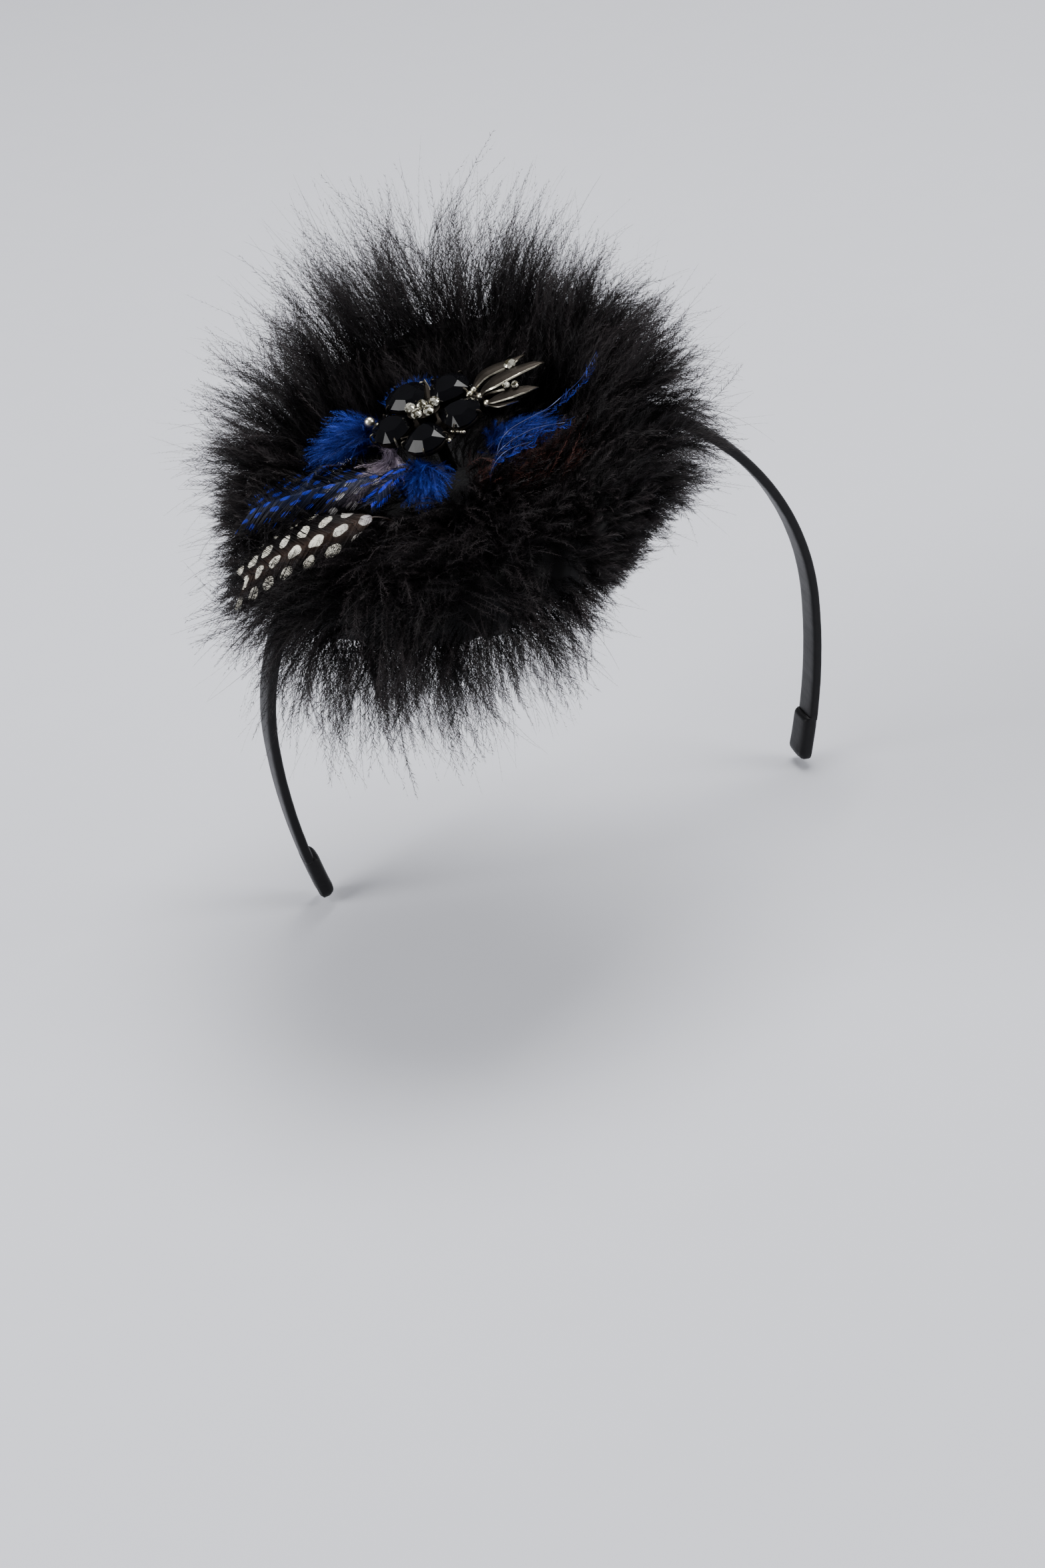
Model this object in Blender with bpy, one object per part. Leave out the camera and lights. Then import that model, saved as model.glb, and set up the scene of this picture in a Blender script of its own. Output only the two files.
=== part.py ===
"""Feather fascinator: a marabou ring with a jewelled brooch and spotted feathers on a narrow headband.

Sizes are millimetres, turned into metres when a mesh is made. The wearer faces -Y and +Z is up.
The origin lies on the inner face of the headband at the middle of its crown, where it sits on a head.

The feathers and the brooch are placed in the disc's own coordinates. The backing is part of a sphere:
u runs to the wearer's left along it, w runs backwards along it, and h is the height above it.
"""

import math
import random

import bmesh
import bpy
from mathutils import Matrix, Vector

MM = 0.001
GAP = 0.3

# Headband: half an ellipse over the crown, and two arms that lean in towards the tips.
BAND_HALF_WIDTH = 74.0
CROWN_RISE = 71.5
ARM_DROP = 46.0
TIP_INWARD = 6.7
BAND_WIDTH = 8.0
BAND_THICKNESS = 2.6
BAND_CHAMFER = 0.5
CROWN_STATIONS = 36
ARM_STATIONS = 9

# Tip sleeves: the thicker covered ends, flush with the band outside, with a pocket for its thin tongue.
SLEEVE_LENGTH = 12.5
SLEEVE_WIDER = 0.4
SLEEVE_THICKER = 1.5
SLEEVE_SHIFT = -0.1
POCKET_DEPTH = 6.0
TONGUE_WIDTH = 6.4
TONGUE_THICKNESS = 1.2
TONGUE_SHIFT = 0.7
TONGUE_CHAMFER = 0.3

# Backing: a shallow dome that rests on the band, left of its middle, and leans forward.
DOME_RADIUS = 95.0
BASE_THICKNESS = 2.0
BASE_REACH = 41.0
SEAT_X = -20.0
DISC_LEAN_X = -0.29
DISC_LEAN_Y = -0.26

# Marabou ring: a core round the backing, with every lock of feather drawn out of one of its faces.
RING_RADIUS = 42.0
CORE_RADIUS = 11.0
RING_STATIONS = 40
CORE_SIDES = 10
LOCK_LEAN = 0.8
LOWEST_LEAN = -28.0
LOCK_WAIST = 0.62
LOCK_WAIST_AT = 0.45
INNER_CLEAR_RADIUS = 25.5
RANDOM_SEED = 7

# Reach of the fluff from the middle of the core, round the ring: angle in the disc, fluff, wisps.
LOBES = (
    (0, 23.0, 40.0),
    (30, 28.0, 44.0),
    (60, 34.0, 53.0),
    (90, 35.0, 54.0),
    (115, 31.0, 48.0),
    (140, 27.0, 40.0),
    (165, 20.0, 31.0),
    (195, 24.0, 34.0),
    (225, 31.0, 38.0),
    (255, 29.0, 36.0),
    (285, 20.0, 27.0),
    (315, 19.0, 30.0),
    (340, 23.0, 38.0),
    (360, 23.0, 40.0),
)

# Brooch: a flower of five drop stones round a cluster of five crystals, with a spray of leaves.
FLOWER_U = 1.5
FLOWER_W = 6.9
FLOWER_H = 18.0
FLOWER_TURN = 32.5
PETALS = 5
PETAL_AT = 8.5
PETAL_LENGTH = 10.6
PETAL_WIDTH = 11.4
PETAL_POINT = 0.55
PETAL_GIRDLE = 0.7
PETAL_CROWN = 1.5
SEAT_THICKNESS = 1.6
CLUSTER_PITCH = 3.0
CLUSTER_STONE = 2.7
CLUSTER_HEIGHT = 2.6
CLUSTER_TURN = -18.0
CLUSTER_SHIFT = (-0.4, -0.8)
BETWEEN_PETALS = FLOWER_TURN + 36.0


def band_outline():
    """Points down one arm, over the crown and down the other, on the band's outer face."""
    points = []
    for step in range(ARM_STATIONS, 0, -1):
        part = step / ARM_STATIONS
        points.append((-BAND_HALF_WIDTH + TIP_INWARD * part ** 2, -ARM_DROP * part))
    for step in range(CROWN_STATIONS + 1):
        angle = math.pi * (1 - step / CROWN_STATIONS)
        points.append((BAND_HALF_WIDTH * math.cos(angle), CROWN_RISE * math.sin(angle)))
    for step in range(1, ARM_STATIONS + 1):
        part = step / ARM_STATIONS
        points.append((BAND_HALF_WIDTH - TIP_INWARD * part ** 2, -ARM_DROP * part))
    lift = -(CROWN_RISE - BAND_THICKNESS)
    return [Vector((x, 0.0, z + lift)) for x, z in points]


def seat_on_band():
    """The point of the band's outer face that the dome touches, and the normal there."""
    x = SEAT_X
    z = CROWN_RISE * math.sqrt(1 - (x / BAND_HALF_WIDTH) ** 2)
    normal = Vector((x / BAND_HALF_WIDTH ** 2, 0.0, z / CROWN_RISE ** 2)).normalized()
    return Vector((x, 0.0, z - (CROWN_RISE - BAND_THICKNESS))), normal


SEAT_POINT, SEAT_NORMAL = seat_on_band()
SEAT_REACH = math.sqrt((DOME_RADIUS - GAP) ** 2 - (BAND_WIDTH / 2) ** 2)
DOME_CENTRE = SEAT_POINT - SEAT_NORMAL * SEAT_REACH
TOP_RADIUS = DOME_RADIUS + BASE_THICKNESS
DISC_UP = Vector((DISC_LEAN_X, DISC_LEAN_Y, math.sqrt(1 - DISC_LEAN_X ** 2 - DISC_LEAN_Y ** 2)))
DISC_U = (Vector((1, 0, 0)) - DISC_UP * DISC_LEAN_X).normalized()
DISC_W = DISC_UP.cross(DISC_U)


def disc_point(u, w, h):
    """A point at u, w on the backing and at height h above its top face."""
    rise = math.sqrt((TOP_RADIUS + h) ** 2 - u ** 2 - w ** 2)
    return DOME_CENTRE + DISC_U * u + DISC_W * w + DISC_UP * rise


def disc_place(point):
    """The u, w and h of a point."""
    arm = point - DOME_CENTRE
    return arm.dot(DISC_U), arm.dot(DISC_W), arm.length - TOP_RADIUS


def disc_frame(u, w, h):
    """A frame on the backing at u, w, h: x along u, z away from the dome."""
    origin = disc_point(u, w, h)
    z_axis = (origin - DOME_CENTRE).normalized()
    x_axis = (DISC_U - z_axis * DISC_U.dot(z_axis)).normalized()
    y_axis = z_axis.cross(x_axis)
    return Matrix.Translation(origin) @ Matrix((x_axis, y_axis, z_axis)).transposed().to_4x4()


def plain_material(name, colour, roughness, metallic=0.0):
    material = bpy.data.materials.new(name)
    material.use_nodes = True
    shader = material.node_tree.nodes["Principled BSDF"]
    shader.inputs["Base Color"].default_value = (*colour, 1.0)
    shader.inputs["Roughness"].default_value = roughness
    shader.inputs["Metallic"].default_value = metallic
    material.diffuse_color = (*colour, 1.0)
    return material


def finish(name, mesh, material, frame=None, smooth_angle=None):
    """Turn a bmesh in millimetres into a named object in metres, with its faces pointing out."""
    bmesh.ops.recalc_face_normals(mesh, faces=mesh.faces)
    if frame is not None:
        bmesh.ops.transform(mesh, matrix=frame, verts=mesh.verts)
    bmesh.ops.scale(mesh, vec=(MM, MM, MM), verts=mesh.verts)
    data = bpy.data.meshes.new(name)
    mesh.to_mesh(data)
    mesh.free()
    if smooth_angle is not None:
        data.shade_smooth()
        data.set_sharp_from_angle(angle=math.radians(smooth_angle))
    data.materials.append(material)
    thing = bpy.data.objects.new(name, data)
    bpy.context.scene.collection.objects.link(thing)
    return thing


def loft(mesh, sections, close_ends=True):
    """Join equal rings of points into a skin, with a flat cap on each end."""
    rings = [[mesh.verts.new(point) for point in section] for section in sections]
    count = len(rings[0])
    for low, high in zip(rings, rings[1:]):
        for index in range(count):
            after = (index + 1) % count
            mesh.faces.new((low[index], low[after], high[after], high[index]))
    if close_ends:
        mesh.faces.new(list(reversed(rings[0])))
        mesh.faces.new(rings[-1])
    return rings


def band_section(point, inward, width, thickness, chamfer, shift=0.0):
    """Eight corners across the band. Its outer face lies on the point, moved in by shift."""
    half = width / 2
    flat = half - chamfer
    deep = thickness - chamfer
    corners = (
        (-flat, 0.0), (flat, 0.0), (half, chamfer), (half, deep),
        (flat, thickness), (-flat, thickness), (-half, deep), (-half, chamfer),
    )
    return [point + Vector((0, across, 0)) + inward * (depth + shift) for across, depth in corners]


def along_band():
    """The band's outline as stations: distance from the first tip, point, inward normal."""
    points = band_outline()
    stations = []
    travelled = 0.0
    for index, point in enumerate(points):
        before = points[max(index - 1, 0)]
        after = points[min(index + 1, len(points) - 1)]
        tangent = (after - before).normalized()
        inward = Vector((tangent.z, 0.0, -tangent.x))
        if index:
            travelled += (point - points[index - 1]).length
        stations.append((travelled, point, inward))
    return stations


def band_at(stations, distance):
    """Point and inward normal at a distance along the band."""
    for low, high in zip(stations, stations[1:]):
        if low[0] <= distance <= high[0]:
            part = (distance - low[0]) / (high[0] - low[0])
            return low[1].lerp(high[1], part), low[2].lerp(high[2], part).normalized()
    return stations[-1][1], stations[-1][2]


def make_headband(material):
    stations = along_band()
    length = stations[-1][0]
    tongue = SLEEVE_LENGTH - POCKET_DEPTH + GAP
    start = SLEEVE_LENGTH + GAP
    full = (BAND_WIDTH, BAND_THICKNESS, BAND_CHAMFER, 0.0)
    thin = (TONGUE_WIDTH, TONGUE_THICKNESS, TONGUE_CHAMFER, TONGUE_SHIFT)
    rows = [(tongue, thin), (start, thin), (start, full)]
    rows += [(station[0], full) for station in stations if start + 1 < station[0] < length - start - 1]
    rows += [(length - start, full), (length - start, thin), (length - tongue, thin)]
    mesh = bmesh.new()
    sections = []
    for place, shape in rows:
        point, inward = band_at(stations, place)
        sections.append(band_section(point, inward, *shape))
    loft(mesh, sections)
    return finish("headband", mesh, material, smooth_angle=40)


def make_sleeve(name, material, from_start):
    """A closed cup: the outer skin from the tip up to the mouth, then the pocket back down."""
    stations = along_band()
    length = stations[-1][0]
    outer_width = BAND_WIDTH + SLEEVE_WIDER
    outer_thickness = BAND_THICKNESS + SLEEVE_THICKER
    rounding = ((0.0, 0.55), (0.7, 0.82), (2.0, 1.0), (7.5, 1.0), (SLEEVE_LENGTH - 0.8, 0.97))
    rows = []
    for place, fullness in rounding:
        width = outer_width * (0.35 + 0.65 * fullness)
        shift = SLEEVE_SHIFT + outer_thickness * (1 - fullness) / 2
        rows.append((place, width, outer_thickness * fullness, 0.9 * fullness, shift))
    rows.append((SLEEVE_LENGTH, outer_width, outer_thickness * 0.88, 0.7, SLEEVE_SHIFT))
    pocket = (TONGUE_WIDTH + 2 * GAP, TONGUE_THICKNESS + 2 * GAP, TONGUE_CHAMFER, TONGUE_SHIFT - GAP)
    rows.append((SLEEVE_LENGTH, *pocket))
    rows.append((SLEEVE_LENGTH - POCKET_DEPTH, *pocket))
    mesh = bmesh.new()
    sections = []
    for place, width, thickness, chamfer, shift in rows:
        point, inward = band_at(stations, place if from_start else length - place)
        sections.append(band_section(point, inward, width, thickness, chamfer, shift))
    loft(mesh, sections)
    return finish(name, mesh, material, smooth_angle=50)


def make_base(material):
    """A spherical cap with an upper and a lower face."""
    rings = 4
    sides = 32
    mesh = bmesh.new()
    skins = []
    for radius in (TOP_RADIUS, DOME_RADIUS):
        top = mesh.verts.new(DOME_CENTRE + DISC_UP * radius)
        rows = []
        for ring in range(1, rings + 1):
            tilt = (BASE_REACH / TOP_RADIUS) * ring / rings
            row = []
            for side in range(sides):
                turn = 2 * math.pi * side / sides
                across = DISC_U * math.cos(turn) + DISC_W * math.sin(turn)
                arm = DISC_UP * math.cos(tilt) + across * math.sin(tilt)
                row.append(mesh.verts.new(DOME_CENTRE + arm * radius))
            rows.append(row)
        skins.append((top, rows))
    for top, rows in skins:
        for side in range(sides):
            after = (side + 1) % sides
            mesh.faces.new((top, rows[0][side], rows[0][after]))
            for low, high in zip(rows, rows[1:]):
                mesh.faces.new((low[side], high[side], high[after], low[after]))
    upper_rim, lower_rim = skins[0][1][-1], skins[1][1][-1]
    for side in range(sides):
        after = (side + 1) % sides
        mesh.faces.new((upper_rim[side], lower_rim[side], lower_rim[after], upper_rim[after]))
    return finish("feather_base", mesh, material, smooth_angle=40)


# Feathers: half-width where the vane is full, and the spine from the backing up and over the fluff.
FEATHERS = {
    "guinea_feather": {
        "half_width": 7.2,
        "vane_from": 4,
        "spine": ((-13.5, -15.5, 0.9), (-15.0, -16.5, 10.0), (-17.5, -17.5, 18.0), (-21.0, -18.0, 23.0),
                  (-25.5, -18.6, 25.5), (-32.0, -18.0, 27.0), (-40.0, -15.5, 27.2), (-48.0, -11.0, 25.6),
                  (-55.0, -6.0, 22.8)),
    },
    "blue_spotted_feather": {
        "half_width": 6.2,
        "vane_from": 3,
        "spine": ((-12.0, -7.5, 0.9), (-12.0, -7.0, 10.0), (-12.5, -6.8, 17.0), (-15.0, -7.2, 21.5),
                  (-19.5, -7.6, 24.6), (-26.0, -7.0, 27.6), (-34.0, -4.6, 29.6), (-40.5, -1.0, 29.8),
                  (-46.0, 3.4, 28.6)),
    },
    "grey_spotted_feather": {
        "half_width": 4.6,
        "vane_from": 3,
        "spine": ((-11.5, 0.6, 0.9), (-12.0, 0.6, 8.0), (-13.0, 0.5, 13.0), (-15.0, 0.4, 16.0),
                  (-19.0, 0.0, 18.4), (-23.5, -0.9, 20.0), (-27.5, -2.2, 21.0)),
    },
}

# Curling feathers: half-width of the narrow vane, and the spine.
CURLS = {
    "curling_feather_long": (
        0.9,
        ((8.5, -12.5, 0.9), (9.5, -12.6, 10.0), (12.0, -12.4, 17.0), (15.8, -12.2, 20.5),
         (21.5, -14.2, 24.0), (25.6, -15.6, 26.2), (30.0, -15.2, 28.0), (36.0, -13.6, 30.2),
         (41.8, -9.2, 32.4)),
    ),
    "curling_feather_middle": (
        0.8,
        ((6.5, -15.0, 0.9), (7.5, -15.4, 10.0), (10.0, -15.6, 17.5), (14.0, -16.6, 21.5),
         (19.5, -18.8, 25.0), (23.5, -21.0, 27.0), (27.4, -23.6, 28.8)),
    ),
    "curling_feather_short": (
        0.7,
        ((4.6, -17.6, 0.9), (5.6, -18.2, 10.0), (7.6, -18.8, 17.5), (11.0, -20.2, 22.5),
         (14.6, -21.8, 25.2), (18.4, -23.8, 27.0)),
    ),
}

# Tufts: centre on the backing, lean of the top, radius and height of the fluff.
TUFTS = {
    "blue_tuft_left": {"u": -14.0, "w": 15.0, "lean_u": -2, "lean_w": 5.5, "radius": 7.4, "height": 22.5},
    "blue_tuft_front": {"u": -4.0, "w": -12.0, "lean_u": 0.5, "lean_w": -1, "radius": 5.6, "height": 15.5},
    "blue_tuft_right": {"u": 18.0, "w": -6.0, "lean_u": 1.5, "lean_w": -0.5, "radius": 5.8, "height": 14},
}
TUFT_SIDES = 10


def smooth_path(points, steps):
    """Catmull-Rom points through the given ones, with a number of steps for each stretch."""
    ends = [points[0] * 2 - points[1]] + list(points) + [points[-1] * 2 - points[-2]]
    path = []
    for index in range(1, len(ends) - 2):
        p0, p1, p2, p3 = ends[index - 1:index + 3]
        for step in range(steps):
            t = step / steps
            path.append(0.5 * (2 * p1 + (p2 - p0) * t + (2 * p0 - 5 * p1 + 4 * p2 - p3) * t ** 2
                               + (3 * p1 - p0 - 3 * p2 + p3) * t ** 3))
    path.append(points[-1])
    return path


def spine_frames(points):
    """For each point of a spine: the point, the direction across the vane, and the face normal."""
    frames = []
    for index, point in enumerate(points):
        tangent = (points[min(index + 1, len(points) - 1)] - points[max(index - 1, 0)]).normalized()
        up = (point - DOME_CENTRE).normalized()
        across = tangent.cross(up)
        if across.length < 0.35:
            across = tangent.cross(up.lerp(DISC_U, 0.6))
        across.normalize()
        frames.append((point, across, across.cross(tangent).normalized()))
    return frames


def even_frames(frames):
    """Turn each frame by less than a quarter from the one before, so that the skin doesn't twist."""
    steady = [frames[-1]]
    for point, across, face in reversed(frames[:-1]):
        before = steady[-1][1]
        if across.dot(before) < 0:
            across, face = -across, -face
        steady.append((point, across.lerp(before, 0.35).normalized(), face))
    steady.reverse()
    return steady


def make_feather(name, plan, material):
    """A quill that rises from the backing and widens into a thin cambered vane with a rounded end."""
    spine = smooth_path([disc_point(*place) for place in plan["spine"]], 2)
    frames = even_frames(spine_frames(spine))
    quill = plan["vane_from"] * 2
    last = len(frames) - 1
    mesh = bmesh.new()
    sections = []
    for index, (point, across, face) in enumerate(frames):
        if index <= quill:
            half = 0.6
            thick = 0.5
        else:
            part = (index - quill) / (last - quill)
            swell = min(1.0, part / 0.3) ** 0.7
            close = math.sqrt(max(0.0, 1 - max(0.0, (part - 0.45) / 0.55) ** 2.2))
            half = max(0.9, plan["half_width"] * swell * close)
            thick = 0.35
        droop = face * (half * 0.12)
        sections.append([
            point - across * half - droop, point - across * half * 0.5 + face * thick * 0.6,
            point + face * thick, point + across * half * 0.5 + face * thick * 0.6,
            point + across * half - droop, point + across * half * 0.5 - face * thick * 0.5,
            point - face * thick * 0.6, point - across * half * 0.5 - face * thick * 0.5,
        ])
    loft(mesh, sections)
    return finish(name, mesh, material, smooth_angle=60)


def make_curl(name, plan, material):
    """A narrow feather as a slim tapering four-sided strip."""
    half_width, places = plan
    spine = smooth_path([disc_point(*place) for place in places], 2)
    frames = even_frames(spine_frames(spine))
    mesh = bmesh.new()
    sections = []
    for index, (point, across, face) in enumerate(frames):
        part = index / (len(frames) - 1)
        half = 0.4 + (half_width - 0.4) * math.sin(math.pi * min(1.0, part * 0.9))
        thick = face * (0.32 * (1 - 0.5 * part))
        sections.append([point - across * half, point + thick, point + across * half, point - thick])
    loft(mesh, sections)
    return finish(name, mesh, material, smooth_angle=60)


def make_tuft(name, plan, material, chance):
    """A stem that widens into a head, with a short lock drawn out of each upper face."""
    profile = ((0.0, 0.32), (0.35, 0.42), (0.62, 0.8), (0.82, 1.0), (0.95, 0.78))
    mesh = bmesh.new()
    sections = []
    for part, fullness in profile:
        lean = part ** 1.5
        u = plan["u"] + plan["lean_u"] * lean
        w = plan["w"] + plan["lean_w"] * lean
        frame = disc_frame(u, w, GAP + part * (plan["height"] - GAP) * 0.86)
        ring = []
        for side in range(TUFT_SIDES):
            turn = 2 * math.pi * side / TUFT_SIDES
            reach = plan["radius"] * 0.8 * fullness
            ring.append(frame @ Vector((reach * math.cos(turn), reach * math.sin(turn), 0.0)))
        sections.append(ring)
    rings = loft(mesh, sections)
    middle = sum((vert.co for vert in rings[2]), Vector()) / TUFT_SIDES
    head = set(rings[3] + rings[4])
    shoulder = set(rings[2] + rings[3])
    upper = [face for face in mesh.faces if set(face.verts) <= head]
    upper += [face for face in mesh.faces if set(face.verts) <= shoulder and face not in upper]
    grow_locks(mesh, upper, lambda face: (face.calc_center_median() - middle).normalized(),
               lambda face: plan["radius"] * chance.uniform(0.22, 0.36))
    return finish(name, mesh, material, smooth_angle=30)


def grow_locks(mesh, faces, direction, length):
    """Draw each face out twice: to a waist part of the way along, and then to a point."""
    for face in faces:
        way = direction(face)
        reach = length(face)
        if reach <= 0:
            continue
        for share, scale in ((LOCK_WAIST_AT, LOCK_WAIST), (1.0, 0.0)):
            if scale:
                grown = bmesh.ops.extrude_discrete_faces(mesh, faces=[face])["faces"][0]
                centre = grown.calc_center_median()
                for vert in grown.verts:
                    vert.co = centre + (vert.co - centre) * scale + way * reach * share
                face = grown
            else:
                tip = bmesh.ops.poke(mesh, faces=[face])["verts"][0]
                tip.co += way * reach * (1 - LOCK_WAIST_AT)


def lobe_reach(angle):
    """Reach of the fluff and of the wisps at an angle round the ring, in degrees."""
    angle %= 360
    for low, high in zip(LOBES, LOBES[1:]):
        if low[0] <= angle <= high[0]:
            part = (angle - low[0]) / (high[0] - low[0])
            part = part * part * (3 - 2 * part)
            return low[1] + (high[1] - low[1]) * part, low[2] + (high[2] - low[2]) * part
    return LOBES[0][1], LOBES[0][2]


def covers():
    """What lies over the ring: segments in u, w, h, with the half-width kept clear of locks."""
    spans = []
    for plan in FEATHERS.values():
        for low, high in zip(plan["spine"][3:], plan["spine"][4:]):
            spans.append((low, high, plan["half_width"] + 3.4))
    for half_width, places in CURLS.values():
        for low, high in zip(places[3:], places[4:]):
            spans.append((low, high, half_width + 1.2))
    for path, _ in SPRAY_LEAVES:
        low = (FLOWER_U + path[0][0], FLOWER_W + path[0][1], FLOWER_H)
        high = (FLOWER_U + path[-1][0], FLOWER_W + path[-1][1], FLOWER_H)
        spans.append((low, high, 3.6))
    for plan in TUFTS.values():
        low = (plan["u"], plan["w"], plan["height"] * 0.5)
        high = (plan["u"] + plan["lean_u"], plan["w"] + plan["lean_w"], plan["height"] * 0.5)
        spans.append((low, high, plan["radius"] + 1.5))
    return spans


def free_of_covers(point, spans):
    """True where a point of a lock stays below what lies over it and off the backing and the band."""
    u, w, h = disc_place(point)
    if math.hypot(u, w) < INNER_CLEAR_RADIUS:
        return False
    over_base = math.hypot(u, w) < BASE_REACH + 2
    over_band = abs(point.y) < BAND_WIDTH / 2 + 2.5
    if h < 0.8 and (over_base or over_band):
        return False
    for low, high, half_width in spans:
        du, dw = high[0] - low[0], high[1] - low[1]
        part = ((u - low[0]) * du + (w - low[1]) * dw) / (du * du + dw * dw)
        part = min(1.0, max(0.0, part))
        away = math.hypot(u - low[0] - du * part, w - low[1] - dw * part)
        if away < half_width and h > low[2] + (high[2] - low[2]) * part - 2.6:
            return False
    return True


def make_marabou_ring(material, chance):
    """A closed ring that rests on the backing, with a tapering lock drawn out of each upper face."""
    mesh = bmesh.new()
    corner = CORE_RADIUS / math.cos(math.pi / CORE_SIDES)
    rings = []
    for station in range(RING_STATIONS):
        turn = 2 * math.pi * station / RING_STATIONS
        u, w = RING_RADIUS * math.cos(turn), RING_RADIUS * math.sin(turn)
        centre = disc_point(u, w, GAP + CORE_RADIUS)
        up = (centre - DOME_CENTRE).normalized()
        outward = DISC_U * math.cos(turn) + DISC_W * math.sin(turn)
        outward = (outward - up * outward.dot(up)).normalized()
        ring = []
        for side in range(CORE_SIDES):
            angle = math.radians(-90) + 2 * math.pi * (side + 0.5) / CORE_SIDES
            arm = outward * math.cos(angle) + up * math.sin(angle)
            ring.append(mesh.verts.new(centre + arm * corner))
        rings.append(ring)
    faces = []
    for station in range(RING_STATIONS):
        here, after = rings[station], rings[(station + 1) % RING_STATIONS]
        for side in range(CORE_SIDES):
            next_side = (side + 1) % CORE_SIDES
            face = mesh.faces.new((here[side], after[side], after[next_side], here[next_side]))
            faces.append((face, station + 0.5, side + 1))
    bmesh.ops.recalc_face_normals(mesh, faces=mesh.faces)
    spans = covers()
    plans = []
    for face, station, side in faces:
        psi = -90 + 360 * side / CORE_SIDES
        if not -60 < psi < 205:
            continue
        way, reach = plan_lock(360 * station / RING_STATIONS, psi, chance)
        start = face.calc_center_median()
        while reach > 1.5 and not lock_is_free(start, way * reach, spans):
            reach *= 0.86
        if reach > 1.5:
            plans.append((face, way, reach))
    for face, way, reach in plans:
        grow_locks(mesh, [face], lambda _: way, lambda _: reach)
    return finish("marabou_ring", mesh, material, smooth_angle=30)


def plan_lock(turn, psi, chance):
    """Direction and length of the lock that grows at a turn round the ring and psi round its core."""
    fluff, wisp = lobe_reach(turn)
    theta = math.radians(turn)
    centre = disc_point(RING_RADIUS * math.cos(theta), RING_RADIUS * math.sin(theta), GAP + CORE_RADIUS)
    up = (centre - DOME_CENTRE).normalized()
    outward = DISC_U * math.cos(theta) + DISC_W * math.sin(theta)
    outward = (outward - up * outward.dot(up)).normalized()
    lean = math.radians(max(psi * LOCK_LEAN, LOWEST_LEAN) + chance.uniform(-4, 4))
    sideways = up.cross(outward) * chance.uniform(-0.09, 0.09)
    way = (outward * math.cos(lean) + up * math.sin(lean) + sideways).normalized()
    if chance.random() < 0.38:
        reach = wisp * chance.uniform(0.8, 0.97) - CORE_RADIUS
    else:
        reach = fluff * chance.uniform(0.85, 1.12) - CORE_RADIUS
    inner = min(1.0, max(0.0, (psi * LOCK_LEAN - 60) / 60))
    reach = reach * (1 - inner) + 5.0 * chance.uniform(0.8, 1.2) * inner
    if psi < -30:
        reach *= 0.55
    return way, reach


def lock_is_free(start, run, spans):
    """True where a lock clears what lies over it at six places along its run."""
    return all(free_of_covers(start + run * part, spans) for part in (0.3, 0.5, 0.65, 0.8, 0.9, 1.0))


def stone_outline(length, width, sides, point):
    """A drop outline: an oval whose end at -x is drawn to a blunt point."""
    outline = []
    for side in range(sides):
        turn = 2 * math.pi * side / sides
        x, y = math.cos(turn), math.sin(turn)
        narrow = 1 - point * (0.5 - 0.5 * x) ** 2
        outline.append((x * length / 2, y * width / 2 * narrow))
    return outline


def make_stone(name, frame, length, width, girdle, crown, point, material):
    """A cut stone: table, eight kites and sixteen triangles on the crown, girdle and a flat back."""
    table_share = 0.56
    edge = stone_outline(length, width, 16, point)
    table = [(x * table_share, y * table_share) for x, y in edge[::2]]
    mesh = bmesh.new()
    back = [mesh.verts.new((x * 0.93, y * 0.93, 0.0)) for x, y in edge]
    low = [mesh.verts.new((x, y, girdle * 0.45)) for x, y in edge]
    high = [mesh.verts.new((x, y, girdle)) for x, y in edge]
    top = [mesh.verts.new((x, y, girdle + crown)) for x, y in table]
    for index in range(16):
        after = (index + 1) % 16
        mesh.faces.new((back[index], back[after], low[after], low[index]))
        mesh.faces.new((low[index], low[after], high[after], high[index]))
    for index in range(8):
        after = (index + 1) % 8
        here = index * 2
        mesh.faces.new((top[index], high[here], high[here + 1]))
        mesh.faces.new((top[index], high[here + 1], top[after]))
        mesh.faces.new((top[after], high[here + 1], high[(here + 2) % 16]))
    mesh.faces.new(top)
    mesh.faces.new(back)
    return finish(name, mesh, material, frame=frame)


# Cluster: a row of three crystals behind a row of two, in pitches along and across the rows.
CLUSTER_ROWS = ((1.0, 0.36), (0.0, 0.36), (-1.0, 0.36), (-0.5, -0.51), (0.5, -0.51))

# Spray, in the flower's plane: its ball joints, then each leaf as a path with half-widths.
SPRAY_BALLS = ((11.1, -0.5, 0.0), (12.4, -0.1, 0.3), (12.9, -3.3, 0.3), (13.4, -6.8, 0.3))
SPRAY_LEAVES = (
    (
        ((12.4, -0.1, 0.4), (13.9, 0.3, 1.5), (16.1, 0.9, 2.2), (19.4, 1.0, 2.2), (22.4, 0.8, 2.0),
         (26.7, 1.6, 1.6)),
        (0.5, 1.0, 1.4, 1.5, 1.3, 0.25),
    ),
    (
        ((12.9, -3.3, 0.4), (14.6, -3.5, 1.8), (17.1, -4.1, 2.7), (22.0, -4.2, 2.9), (27.0, -4.3, 2.4),
         (29.6, -4.6, 1.7)),
        (0.5, 1.2, 1.6, 1.5, 1.0, 0.25),
    ),
    (
        ((13.4, -6.8, 0.4), (15.4, -8.1, 1.3), (19.5, -9.5, 1.8), (22.5, -10.2, 1.6), (25.5, -11.0, 1.0)),
        (0.5, 1.2, 1.4, 1.1, 0.25),
    ),
    (
        ((13.4, -6.8, 0.2), (15.7, -9.8, 0.6), (19.8, -12.0, 0.8)),
        (0.5, 0.9, 0.25),
    ),
)

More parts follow.
